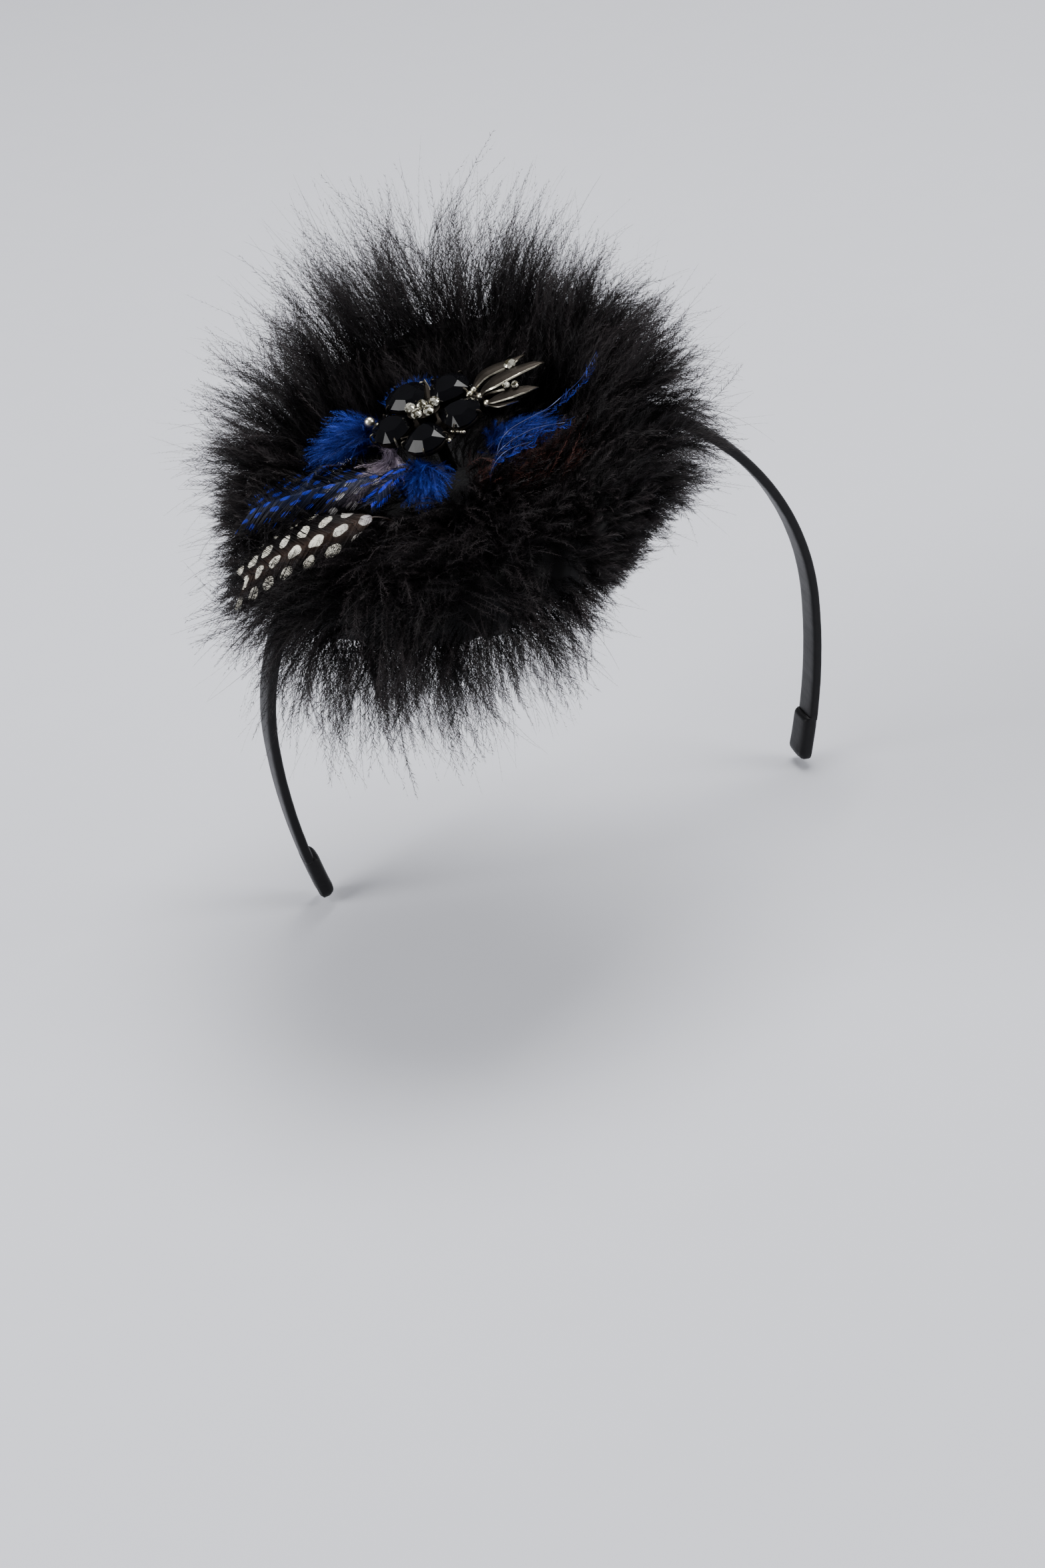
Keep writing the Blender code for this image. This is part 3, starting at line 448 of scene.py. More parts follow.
# %% Spines of the vaned and the curling feathers, in u, w and h
VANES = {
    # half-width, first point of the vane, barbs, share left open in front and behind, fringe, spine
    "guinea_vane": (7.2, 3, 190, (0.03, 0.03), 0.05, (
        (-13.5, -15.5, 0.9), (-15, -16.5, 10), (-17.5, -17.5, 18), (-21, -18, 23), (-25.5, -18.6, 25.5),
        (-32, -18, 27), (-40, -15.5, 27.2), (-48, -11, 25.6), (-55, -6, 22.8))),
    "blue_spotted_vane": (6.2, 3, 120, (0.12, 0.62), 0.3, (
        (-12, -7.5, 0.9), (-12, -7, 10), (-12.5, -6.8, 17), (-15, -7.2, 21.5), (-19.5, -7.6, 24.6),
        (-26, -7, 27.6), (-34, -4.6, 29.6), (-40.5, -1, 29.8), (-46, 3.4, 28.6))),
    "grey_spotted_vane": (4.8, 3, 80, (0.15, 0.15), 0.25, (
        (-11.5, -1, 0.9), (-12, -1.6, 8), (-13, -2.5, 14), (-15.5, -4.6, 18.2), (-19.5, -6, 20.2),
        (-23.5, -5.6, 21.4), (-28.5, -4, 22))),
    "narrow_blue_vane": (1.5, 1, 60, (0.3, 0.3), 0.35, (
        (-20, 10, 14), (-24, 8.6, 19), (-27.5, 6.6, 22), (-31.5, 4.2, 22.6), (-35.5, 1.2, 22.6))),
    "blue_barred_vane": (3.2, 1, 70, (0.2, 0.2), 0.3, (
        (-6.5, -5.5, 12), (-9, -7.5, 19.5), (-12.5, -10, 22.4), (-16, -12.6, 23.4), (-20.5, -15, 23.6))),
}
CURLS = {
    "curling_feather_long": (
        (8.5, -12.5, 0.9), (9.5, -12.6, 10), (12, -12.4, 17), (15.8, -12.2, 20.5), (21.5, -14.2, 24),
        (25.6, -15.6, 26.2), (30, -15.2, 28), (36, -13.6, 30.2), (41.8, -9.2, 32.4)),
    "curling_feather_middle": (
        (6.5, -15, 0.9), (7.5, -15.4, 10), (10, -15.6, 17.5), (14, -16.6, 21.5), (19.5, -18.8, 25),
        (23.5, -21, 27), (27.4, -23.6, 28.8)),
    "curling_feather_short": (
        (4.6, -17.6, 0.9), (5.6, -18.2, 10), (7.6, -18.8, 17.5), (11, -20.2, 22.5), (14.6, -21.8, 25.2),
        (18.4, -23.8, 27)),
}
GREY_BED = ((-15, 0.4, 16), (-19, 0, 18.4), (-23.5, -0.9, 20), (-27.5, -2.2, 21))
FLOWER = (1.5, 6.9, 18)
SPRAY_ENDS = ((26.7, 1.6), (29.6, -4.6), (25.5, -11), (19.8, -12))
COVER_MARGIN = 0.8
NO_COVER = 99


def cover_spans():
    """Stretches of what lies over the down: two ends in u, w, h and a half-width."""
    lines = [(VANES["guinea_vane"][-1][3:], 8), (VANES["blue_spotted_vane"][-1][3:], 7), (GREY_BED, 5.4)]
    lines += [(spine[3:], 1.6) for spine in CURLS.values()]
    spans = [(low, high, half_width) for line, half_width in lines for low, high in zip(line, line[1:])]
    flower = np.array(FLOWER)
    spans += [(flower + (12, -4, -0.5), flower + (u, w, 0.5), 3.4) for u, w in SPRAY_ENDS]
    return spans + [(flower - (3, 0, 0), flower + (3, 0, 0), 13)]


COVER_SPANS = cover_spans()


def tuck_under(points):
    """Press points down to stay under the feathers and the brooch that lie over them."""
    arm = points - DOME_CENTRE
    u, w, h = arm @ DISC_U, arm @ DISC_W, np.linalg.norm(arm, axis=-1) - TOP_RADIUS
    roof = np.full(u.shape, float(NO_COVER))
    for low, high, half_width in COVER_SPANS:
        du, dw = high[0] - low[0], high[1] - low[1]
        part = np.clip(((u - low[0]) * du + (w - low[1]) * dw) / (du * du + dw * dw), 0, 1)
        beyond = np.hypot(u - low[0] - du * part, w - low[1] - dw * part) - half_width
        level = low[2] + (high[2] - low[2]) * part - 0.9
        rim = np.clip((beyond + COVER_MARGIN) / (2 * COVER_MARGIN), 0, 1)
        roof = np.minimum(roof, np.where(beyond < COVER_MARGIN, level + rim * rim * 6, NO_COVER))
    return on_disc(u, w, np.where(h > roof, roof - 0.25 * np.minimum(h - roof, 4), h))


print("spans kept clear:", len(COVER_SPANS))

# %% [markdown]
# ## How down is built
# Each soft barb carries hair-fine barbules that slant forwards. That fishbone makes the fluff look soft,
# so it is modelled: a barb is a thin tapering strip, and each barbule is one slim triangle. A UV map
# tells the finish how far along its barb each corner is and which tone the barb has.

# %% Barbs with barbules
CHANCE = np.random.default_rng(11)
between = CHANCE.uniform
around = CHANCE.normal


def make_barbs(spine, width, barbules, barbule_length, flatness=0.85, slant=33, bare=0.05, tone=None,
               foot_width=0.11):
    """Points, faces and places of many barbs along spines, an array of barbs, steps and x, y, z."""
    spine = tuck_under(spine)
    count, steps = spine.shape[:2]
    t = np.linspace(0, 1, steps)
    tone = CHANCE.random((count, 1, 1)) if tone is None else tone[:, None, None]
    tangent = unit(np.gradient(spine, axis=1))
    side = unit(np.cross(tangent, around(size=(count, 1, 3))))
    across = unit(np.cross(side, tangent))
    taper = (1 - 0.85 * t)[None, :, None] * width[:, None, None] / 2
    strip = np.stack([spine - side * taper, spine + side * taper], 2)
    strip_faces = copied_faces(grid_faces(steps, 2, closed=False), count, steps * 2)
    strip_places = pairs(np.broadcast_to(t[None, :, None], (count, steps, 2)), tone)
    where = bare + (0.99 - bare) * (np.arange(barbules) + CHANCE.random((count, barbules))) / barbules
    index = np.minimum((where * (steps - 1)).astype(int), steps - 2)
    share = (where * (steps - 1) - index)[..., None]
    row = np.arange(count)[:, None]
    foot = spine[row, index] * (1 - share) + spine[row, index + 1] * share
    along = unit(spine[row, index + 1] - spine[row, index])
    spin = np.where(np.arange(barbules) % 2, 0, np.pi)
    spin = (spin + around(size=(count, barbules)) * (1 - flatness) * 2)[..., None]
    outward = side[row, index] * np.cos(spin) + across[row, index] * np.sin(spin)
    angle = np.radians(around(slant, 9, (count, barbules)))[..., None]
    swell = np.minimum(1, 0.75 + where * 1.2) * np.minimum(1, 0.2 + (1 - where) * 1.6)
    reach = (barbule_length[:, None] * swell * between(0.65, 1.15, (count, barbules)))[..., None]
    tip = foot + (along * np.cos(angle) + outward * np.sin(angle)) * reach
    half_foot = along * foot_width / 2
    hairs = np.stack([foot - half_foot, foot + half_foot, tip], 2)
    hair_places = pairs(np.stack([where, where, np.minimum(where + 0.12, 1)], -1), tone)
    hair_faces = np.arange(count * barbules * 3).reshape(-1, 3)
    return join([(strip, strip_faces, strip_places), (hairs, hair_faces, hair_places)])


def arc_spines(roots, first_way, last_way, length, bend, steps=7):
    """Curved spines that leave along one direction and end along another."""
    t = np.linspace(0, 1, steps)[None, :, None]
    path = first_way[:, None] * (t - t * t / 2) + last_way[:, None] * (t * t / 2)
    return roots[:, None] + path * length[:, None, None] + bend[:, None] * np.sin(np.pi * t)


def down_finish(name, root, middle, tip, gloss=0.25):
    """Soft matt down: painted shade at the root, a random tone from barb to barb, painted lit streaks at the
    ends.
    """
    finish = Finish(name, {"Specular IOR Level": gloss, "Roughness": 0.55})
    _, along, tone = finish.vane_place()
    tone_and_lit_streak = tone ** 1.7
    # The root colour is a painted shade: the down darkens where it lies deep in the fluff.
    body = finish.mix((along * 1.4).maths("MINIMUM", 1) * (0.2 + tone_and_lit_streak * 0.8), root, middle)
    # Light ends on barbs of high tone are a painted highlight, the lit streaks of the fluff; the tone itself
    # is random.
    finish.paint(along ** 3 * tone_and_lit_streak, body, tip)
    return finish


# Root colours are painted shade and tip colours painted lit streaks, in every down finish.
BLACK_DOWN = down_finish("black_down", (0.0016, 0.0014, 0.0018), (0.013, 0.0108, 0.0120),
                         (0.055, 0.044, 0.046), 0.2)
BLUE_DOWN = down_finish("royal_blue_down", (0.001, 0.002, 0.03), (0.006, 0.023, 0.31), (0.03, 0.085, 0.55))
RUST_DOWN = down_finish("rust_down", (0.006, 0.003, 0.003), (0.045, 0.016, 0.014), (0.12, 0.042, 0.032))
print("three finishes for down")

# %% [markdown]
# ## The marabou ring
# The down grows in locks: the barbs of one lock start apart and run to a shared, pointed tip. Locks stand
# all round an inner body, painted in the darkest root colour as the shade deep in the fluff, and bend
# outwards, away from the brooch. Two short tables hold how far the fluff and the wisps reach at each angle,
# and how a lock leans at each place round the body.

# %% Reach and lean of the locks
LOBES = np.array([
    # angle, fluff, wisps, radius of the inner edge
    (0, 23, 39, 42), (30, 31.5, 47, 27), (60, 45, 61, 23), (75, 47, 63, 23),
    (90, 46, 62, 23), (115, 31.5, 50, 31), (140, 25.5, 41, 37), (157, 11, 28, 40),
    (180, 18, 32, 40), (197, 31, 41, 40), (213, 42, 48, 28), (234, 38.5, 46, 21),
    (256, 36, 44, 22.5), (274, 28, 36, 15), (290, 11, 24, 17), (306, 9, 23, 27),
    (331, 22, 37, 33), (345, 34, 47, 39), (360, 23, 39, 42),
])
LEANS = np.array([
    # place round the core, direction at the root, direction at the tip, share of the fluff's reach
    (-100, -75, -68, 0.50), (-60, -50, -50, 0.60), (-20, -14, -26, 0.70),
    (20, 22, -2, 0.76), (55, 54, 20, 0.80), (90, 84, 36, 0.84),
    (125, 102, 52, 0.86), (160, 108, 60, 0.86), (200, 100, 66, 0.72),
])


def from_table(table, place, column):
    return np.interp(place, table[:, 0], table[:, column])


print("longest fluff:", LOBES[:, 1].max(), "mm")

# %% The ring's own directions
def ring_frame(turn):
    """Middle of the core, outward, up and round directions at angles in degrees."""
    cos, sin = cos_sin(turn)
    centre = at_turn(turn, RING_RADIUS, GAP + CORE_RADIUS)
    up = unit(centre - DOME_CENTRE)
    outward = cos[..., None] * DISC_U + sin[..., None] * DISC_W
    outward = unit(outward - up * (outward * up).sum(-1, keepdims=True))
    return centre, outward, up, np.cross(up, outward)


def core_point(turn, psi, radius):
    """A point at an angle psi round the core, 0 outwards and 90 up, in degrees."""
    centre, outward, up, _ = ring_frame(turn)
    cos, sin = cos_sin(psi)
    return centre + (outward * cos[..., None] + up * sin[..., None]) * radius[..., None]


def leaning(turn, lean, sweep):
    """Unit directions from a lean above the horizontal, in degrees, and a sweep round the ring."""
    _, outward, up, round_ring = ring_frame(turn)
    cos, sin = cos_sin(lean)
    return unit(outward * cos[:, None] + up * sin[:, None] + round_ring * sweep[:, None])


def brushed(turn):
    """How far the locks are brushed round the ring at each angle: more at the right front."""
    theta = np.radians(turn)
    return (0.42 * np.exp(-((turn % 360 - 318) / 30) ** 2) + 0.15 * np.sin(theta * 5 + 1)
            + 0.1 * np.sin(theta * 11))


def table_ways(turn, psi, sweeps, scatter, back_lift):
    """Directions at the root and at the tip of locks, from the table of leans and with some scatter."""
    back = np.clip(np.sin(np.radians(turn)), 0, 1)
    ways = []
    for column, sweep, spread, lift in zip((1, 2), sweeps, scatter, (0, back_lift)):
        lean = from_table(LEANS, psi, column) + lift * back + around(0, spread, len(turn))
        ways.append(leaning(turn, lean, sweep))
    return ways


PLUMES = 60
PLUME_ANGLE = 9
PLUME_SWEEP = around(0, 0.20, PLUMES)
PLUME_REACH = between(0.84, 1.14, PLUMES)
PLUME_TONE = CHANCE.random(PLUMES)


def plume_of(turn, psi):
    """The plume a lock belongs to: a few degrees of the ring, in one of six rows round its body."""
    return ((turn % 360 // PLUME_ANGLE).astype(int) * 7 + ((psi + 100) // 50).astype(int) * 13) % PLUMES


def make_core(turns=120, sides=24):
    """The inner body of the ring, well below the roots of the outermost barbs, dark as painted shade."""
    turn, psi = np.meshgrid(360 * np.arange(turns + 1) / turns, 360 * np.arange(sides) / sides, indexing="ij")
    theta, round_core = np.radians(turn), np.radians(psi)
    lumps = np.sin(theta * 13 + round_core * 3) * 0.7 + np.sin(theta * 29 - round_core * 5) * 0.5
    points = core_point(turn, psi, CORE_RADIUS * 0.72 + lumps)
    points[-1] = points[0]
    # Places of zero give the body the root colour: painted shade.
    return points, grid_faces(turns + 1, sides), np.zeros((points.size // 3, 2))


print("plumes:", PLUMES)

# %% Locks of barbs
LOCK_TURNS = 19
SECTOR_ANGLE = 90
LOCK_ROWS = 11
LOCK_BARBS = 9
LOCK_BARBULES = 52
INSIDE_RADIUS = 30


def spread_locks(roots, first_way, last_way, length, barbs_each, spread, tone):
    """Barbs of many locks, from the middle line of each: apart at the root and close at the tip."""
    locks = len(roots)
    lock = np.repeat(np.arange(locks), barbs_each)
    count = len(lock)
    sway = unit(np.cross(first_way, around(size=(locks, 3)))) * (length * between(0.02, 0.13, locks))[:, None]
    offset = around(0, 1, (count, 3))
    offset -= first_way[lock] * (offset * first_way[lock]).sum(-1, keepdims=True)
    share = between(0.68, 1.05, count)
    last = unit(last_way[lock] - offset * (0.055 * spread) + around(0, 0.10, (count, 3)))
    first = unit(first_way[lock] + offset * 0.10 + around(0, 0.06, (count, 3)))
    bend = sway[lock] + around(0, 0.35, (count, 3))
    spine = arc_spines(roots[lock] + offset * spread, first, last, length[lock] * share, bend)
    tone = tone[lock] * 0.6 + CHANCE.random(count) * 0.4
    return make_barbs(spine, between(0.13, 0.26, count), LOCK_BARBULES, between(2.4, 4.4, count), 0.75,
                      slant=26, tone=tone, foot_width=0.26)


def ring_locks(low):
    """Locks in jittered rows over a quarter of the ring. Each plume has its own way."""
    turn, row = np.meshgrid(np.arange(LOCK_TURNS), np.arange(LOCK_ROWS), indexing="ij")
    turn = (low + SECTOR_ANGLE * (turn + between(0, 1, turn.shape)) / LOCK_TURNS).ravel()
    psi = (-95 + 295 * (row + between(0.1, 0.9, row.shape)) / LOCK_ROWS).ravel()
    locks = len(turn)
    plume = plume_of(turn, psi)
    gather = -0.03 * (turn % PLUME_ANGLE - PLUME_ANGLE / 2)
    sweep = brushed(turn) + PLUME_SWEEP[plume] + gather + around(0, 0.08, locks)
    first_way, last_way = table_ways(turn, psi, (sweep * 0.5, sweep * 1.3), (6, 7), 9)
    length = from_table(LOBES, turn % 360, 1) * from_table(LEANS, psi, 3) * between(0.9, 1.1, locks)
    roots = core_point(turn, psi, between(5.5, 8, locks))
    tone = PLUME_TONE[plume] * 0.6 + CHANCE.random(locks) * 0.4
    return spread_locks(roots, first_way, last_way, length * PLUME_REACH[plume] + 2, LOCK_BARBS, 1.7, tone)


def inner_locks(turn, barbs_each, deepest=34):
    """Locks that rise from the backing inside the ring and close up to the brooch and the feathers."""
    count = len(turn)
    edge = from_table(LOBES, turn % 360, 3)
    depth = between(0, 1, count) ** 1.2 * (np.maximum(deepest, edge + 4) - edge)
    roots = at_turn(turn, edge - 5 + depth, between(2, 7, count))
    sweep = brushed(turn) + around(0, 0.16, count)
    first_way = leaning(turn, around(90, 5, count), sweep * 0.3)
    last_way = leaning(turn, 74 - depth * 2.2 + around(0, 8, count), sweep)
    return spread_locks(roots, first_way, last_way, between(19, 25, count), barbs_each, 1.5,
                        CHANCE.random(count))


def low_locks(count, barbs_each):
    """Short locks all over the middle of the backing, so that no bare felt shows round the brooch."""
    turn = between(0, 360, count)
    roots = at_turn(turn, INSIDE_RADIUS * np.sqrt(between(0.02, 1, count)), between(0.5, 3, count))
    first_way = leaning(turn, around(62, 8, count), around(0, 0.3, count))
    last_way = leaning(turn, around(22, 10, count), around(0, 0.5, count))
    return spread_locks(roots, first_way, last_way, between(9, 15, count), barbs_each, 1.8,
                        CHANCE.random(count) * 0.5)


print("locks on a quarter of the ring:", LOCK_TURNS * LOCK_ROWS)

# %% The ring, its inner edge and the rusty locks under the curling feathers
SECTORS = {"marabou_right": -45, "marabou_back": 45, "marabou_left": 135, "marabou_front": 225}
for sector, low in SECTORS.items():
    parts = [ring_locks(low)]
    if sector == "marabou_front":
        parts.append(make_core())
    make_down(sector, parts, BLACK_DOWN, ["marabou_ring"] if len(parts) > 1 else ())
inside = np.concatenate([between(205, 345, 150), between(10, 150, 75)])
make_down("marabou_inside", [inner_locks(inside, 10), low_locks(140, 5)], BLACK_DOWN)
make_down("marabou_rust", [inner_locks(between(274, 318, 16), 8, 24)], RUST_DOWN)

# %% [markdown]
# Beyond the fluff stand single long wisps, nearly bare and strongly curved. They soften the outline.

# %% Long wisps round the outline
def make_wisps(count):
    turn = between(0, 360, count)
    psi = between(-55, 120, count)
    sweep = brushed(turn) + around(0, 0.3, count)
    first_way, last_way = table_ways(turn, psi, (sweep, sweep * 1.4), (9, 16), 14)
    length = (from_table(LOBES, turn, 2) - CORE_RADIUS) * between(0.6, 1, count)
    roots = core_point(turn, psi, np.full(count, CORE_RADIUS - 1))
    spine = arc_spines(roots, first_way, last_way, length, around(0, 0.9, (count, 3)), steps=10)
    return make_barbs(spine, between(0.10, 0.17, count), 34, between(0.6, 2.4, count), bare=0.2)


make_down("marabou_wisps", [make_wisps(1100)], BLACK_DOWN)

# %% [markdown]
# ## Blue down round the brooch
# Three tufts of the same down push out from under the brooch. Each fans from one stem into a loose ball,
# so its barbs start at one place and end on a stretched sphere.

# %% Three blue tufts
TUFTS = {
    # barbs, stem u, w, middle of the fan u, w, h, its radii along u, w and up, and its flow along u, w
    "left": ((540, -9, 16.5, -17, 15.5, 19, 13, 10.5, 5, -1.2, -0.45),
             (150, 0, 15, 0.5, 22, 16.5, 8, 3.5, 2.5, -0.2, 0.8)),
    "front": ((430, -4.5, -4, -6.5, -11.5, 17.5, 8, 9, 4.5, -0.2, -1),),
    "right": ((460, 12, -6, 18, -11, 16.5, 12.5, 7.5, 4, 1.1, -0.25),),
}


def tuft_barbs(count, stem_u, stem_w, fan_u, fan_w, fan_h, reach_u, reach_w, reach_h, flow_u, flow_w):
    locks = 34
    lock = CHANCE.integers(0, locks, count)
    lock_way = unit(around(size=(locks, 3)) * np.array([1, 1, 0.7]) + np.array([flow_u, flow_w, 0.6]))
    way = unit(lock_way[lock] + around(0, 0.2, (count, 3)))
    u, w, h = (way * between(0.45, 1.05, count)[:, None] * np.array([reach_u, reach_w, reach_h])).T
    start_u, start_w = between(-2, 2, (2, count))
    roots = on_disc(stem_u + start_u, stem_w + start_w, between(6, 13, count))
    run = on_disc(fan_u + u, fan_w + w, fan_h + h) - roots
    length = np.linalg.norm(run, axis=1)
    first_way = unit(unit(run) + DISC_UP * 0.45)
    last_way = 2 * run / length[:, None] - first_way
    spine = arc_spines(roots, first_way, last_way, length, around(0, 0.5, (count, 3)))
    tone = CHANCE.random(locks)[lock] * 0.5 + CHANCE.random(count) * 0.5
    return make_barbs(spine, between(0.12, 0.2, count), 54, between(1.6, 3, count), 0.8, tone=tone)


for side, plans in TUFTS.items():
    parts = [tuft_barbs(*plan) for plan in plans]
    make_down("blue_down_" + side, parts, BLUE_DOWN, ["blue_tuft_" + side])

# %% [markdown]
# ## Vaned feathers
# A vane is hundreds of flat barbs that leave the shaft at a slant. Modelled one by one they give the
# ragged edge and the splits. A UV map in millimetres, along the shaft and across it, carries the spots:
# nodes work out a staggered grid of ovals from those two numbers.

# %% Spots in a staggered grid
def spots(along, across, pitch, row, half_long, half_wide, tilt):
    """1 inside the ovals of a staggered grid on a vane. Sizes in millimetres, tilt in degrees."""
    step = across / row + 40.5
    odd = (step.maths("FLOOR") * 0.5).maths("FRACT")
    x = ((along / pitch + odd).maths("FRACT") - 0.5) * pitch
    y = (step.maths("FRACT") - 0.5) * row
    cos, sin = cos_sin(tilt)
    a = (x * cos + y * sin) / half_long
    b = (y * cos - x * sin) / half_wide
    return 1 - ((a * a + b * b) ** 0.5).above(1, 0.12)


def vane_finish(name, grid, ground, midrib, spot, faded=None):
    """A spotted vane. The spots fade towards its base and fine dark barb lines cross some of them."""
    finish = Finish(name, {"Roughness": 0.45, "Specular IOR Level": 0.12})
    place, along, across = finish.vane_place()
    drift = finish.add("TexNoise", {"noise_dimensions": "2D"}, {"Vector": place, "Scale": 0.3, "Detail": 1})
    along = along + drift * 1.6
    across = across + drift * 0.9
    width = across.maths("ABSOLUTE")
    lines = ((along - width * 1.1) / 0.42).maths("FRACT")
    split = finish.noise(finish.stretched(place, (0.5, 0.5, 0)), 1, 1).above(0.56, 0.05)
    mask = spots(along, across, *grid) * (1 - lines.above(0.68, 0.1) * split)
    fibres = finish.noise(finish.stretched(place, (7, 0.7, 0)), 1, 2)
    base = finish.mix((1 - width / 3.5).maths("MAXIMUM", 0) * (0.4 + fibres), ground, midrib)
    shade = finish.mix((along / 12).maths("MINIMUM", 1).maths("MAXIMUM", 0), faded or spot, spot)
    finish.paint(mask, base, shade)
    finish.bump(lines, 0.00012, 0.5)
    return finish


GUINEA = vane_finish("guinea_vane", (6.2, 4.1, 2, 1.25, -20), (0.004, 0.003, 0.003),
                     (0.035, 0.020, 0.014), (0.90, 0.87, 0.76), (0.26, 0.24, 0.28))
BLUE_VANE = vane_finish("blue_spotted_vane", (5.4, 2, 1.3, 0.5, -8), (0.0015, 0.002, 0.006),
                        (0.004, 0.008, 0.03), (0.009, 0.021, 0.28))
GREY_VANE = vane_finish("grey_spotted_vane", (4.6, 3.4, 1.35, 0.95, -15), (0.006, 0.006, 0.012),
                        (0.05, 0.045, 0.06), (0.62, 0.60, 0.60), (0.55, 0.53, 0.55))
BAR_VANE = vane_finish("blue_barred_vane", (6.6, 2, 2.5, 0.5, 12), (0.0015, 0.002, 0.008),
                       (0.003, 0.008, 0.04), (0.012, 0.022, 0.42))
SHAFT = Finish("feather_shaft", {"Roughness": 0.35, "Base Color": (0.02, 0.012, 0.008, 1)})
SHAFT.bump(SHAFT.noise(SHAFT.stretched(SHAFT.place(), (900, 900, 300)), 1), 0.0001, 0.4)
print("four finishes for vanes")

# %% A vane of separate barbs and its shaft
def spine_frames(spine):
    """Tangent, direction across the vane and face normal along a spine."""
    tangent = unit(np.gradient(spine, axis=0))
    up = unit(spine - DOME_CENTRE)
    across = np.cross(tangent, up)
    weak = np.linalg.norm(across, axis=1) < 0.35
    across[weak] = np.cross(tangent[weak], up[weak] * 0.4 + DISC_U * 0.6)
    across = unit(across)
    for index in range(len(across) - 2, -1, -1):
        if across[index] @ across[index + 1] < 0:
            across[index] = -across[index]
        across[index] = unit(across[index] * 0.65 + across[index + 1] * 0.35)
    return tangent, across, unit(np.cross(across, tangent))


VANE_SLOPE = math.tan(math.radians(48))
VANE_STEPS = 8
BARB_POINTS = 8
BARBS_IN_GROUP = 9


def shaft_rings(spine, radius_start, radius_end, sides=6):
    _, across, face = spine_frames(spine)
    return round_rings(spine, across, face, np.linspace(radius_start, radius_end, len(spine)), sides)


def make_vane(name, finish, replaced=()):
    """A vane of strips on both sides of its shaft, as one piece, with the shaft as a second one."""
    half_width, first, barbs, gaps, fringe, places = VANES[name]
    spine = smooth_path(on_disc(*np.array(places).T), VANE_STEPS)
    vane, across, face = (line[first * VANE_STEPS:] for line in (spine, *spine_frames(spine)[1:]))
    travel = travelled(vane)
    length = travel[-1]

    def surface(along, sideways):
        """Points of the cambered vane at distances along and across."""
        middle, side, normal = (read_off(line, travel, along) for line in (vane, across, face))
        beyond = np.clip(along - length, 0, None)[..., None] * unit(vane[-1] - vane[-3])
        camber = (0.16 * sideways ** 2 / half_width)[..., None]
        return middle + beyond + side * sideways[..., None] - normal * camber

    t = np.linspace(0, 1, BARB_POINTS)
    faces = copied_faces(grid_faces(BARB_POINTS, 2, closed=False), barbs, BARB_POINTS * 2)
    pitch = length / barbs
    foot = (np.arange(barbs) + 0.5) * pitch * 0.97
    part = foot / length
    swell = np.minimum(1, 0.35 + part / 0.2)
    close = np.sqrt(np.clip(1 - np.clip((part - 0.55) / 0.6, 0, 1) ** 2.2, 0, 1))
    parts = []
    for sign, gap in zip((-1, 1), gaps):
        reach = half_width * swell * close * between(1 - fringe, 1 + fringe * 0.4, barbs)
        groups = np.repeat(around(0, 1, barbs // BARBS_IN_GROUP + 1), BARBS_IN_GROUP)[:barbs, None]
        lean = VANE_SLOPE * (1 + 0.08 * groups + around(0, 0.02, (barbs, 1)))
        sideways = sign * reach[:, None] * t
        along = foot[:, None] + reach[:, None] * lean * t ** 1.15
        half = pitch * 0.5 * (1 - gap) * np.clip((1 - t) / 0.35, 0.12, 1)
        lift = (around(0, 0.08 + fringe * 0.6, (barbs, 1)) * t ** 2)[..., None]
        lower, upper = surface(along - half, sideways), surface(along + half, sideways)
        normal = unit(np.cross(upper[:, :1] - lower[:, :1], lower[:, 1:2] - lower[:, :1]))
        tilt = around(0, 0.04, (barbs, 1, 1))
        strip = np.stack([lower + normal * (lift - tilt), upper + normal * (lift + tilt)], 2)
        parts.append((strip, faces, pairs(np.stack([along - half, along + half], 2), sideways[..., None])))
    make_down(name, parts, finish, replaced)
    make_tube(name + "_shaft", shaft_rings(spine, 0.4, 0.08) - face.mean(axis=0) * 0.3, SHAFT)


make_vane("guinea_vane", GUINEA, ["guinea_feather"])
make_vane("blue_spotted_vane", BLUE_VANE, replaced=["blue_spotted_feather"])
make_vane("grey_spotted_vane", GREY_VANE, ["grey_spotted_feather"])
make_vane("narrow_blue_vane", BLUE_VANE)
make_vane("blue_barred_vane", BAR_VANE)

# %% [markdown]
# Soft grey-purple down fills the base of the grey feather, under the brooch.

# %% Grey down
# Its root colour is painted shade and its tip colour a painted highlight.
GREY_DOWN = down_finish("grey_purple_down", (0.10, 0.08, 0.12), (0.40, 0.32, 0.40), (0.60, 0.52, 0.55))


def make_grey_down(count):
    spine = on_disc(*np.array([(-10.5, 3, 17), (-14, 0, 19), (-17.5, -2.8, 20.5)]).T)
    roots = spine[CHANCE.integers(0, 3, count)] + around(0, 1.1, (count, 3))
    flow = unit(spine[2] - spine[0])
    way = unit(flow + around(0, 0.6, (count, 3)) + DISC_UP * 0.35)
    last_way = unit(way + flow * 0.6)
    spine = arc_spines(roots, way, last_way, between(5, 10, count), around(0, 0.4, (count, 3)))
    barbs = make_barbs(spine, between(0.1, 0.18, count), 44, between(1.2, 2.4, count), 0.8)
    make_down("grey_down", [barbs], GREY_DOWN)


make_grey_down(330)

# %% [markdown]
# ## Thin curling feathers
# At the right three narrow feathers curl upwards. Each has a dark blue shaft with pale patches, painted
# highlights, and a short, steep blue vane that comes and goes along it.

# %% Three curling feathers
# Its root colour is painted shade and its tip colour a painted highlight.
CURL_BLUE = down_finish("curl_blue", (0.002, 0.006, 0.06), (0.009, 0.03, 0.42), (0.03, 0.11, 0.75))
CURL_SHAFT = Finish("blue_shaft_painted_highlights", {"Roughness": 0.35})
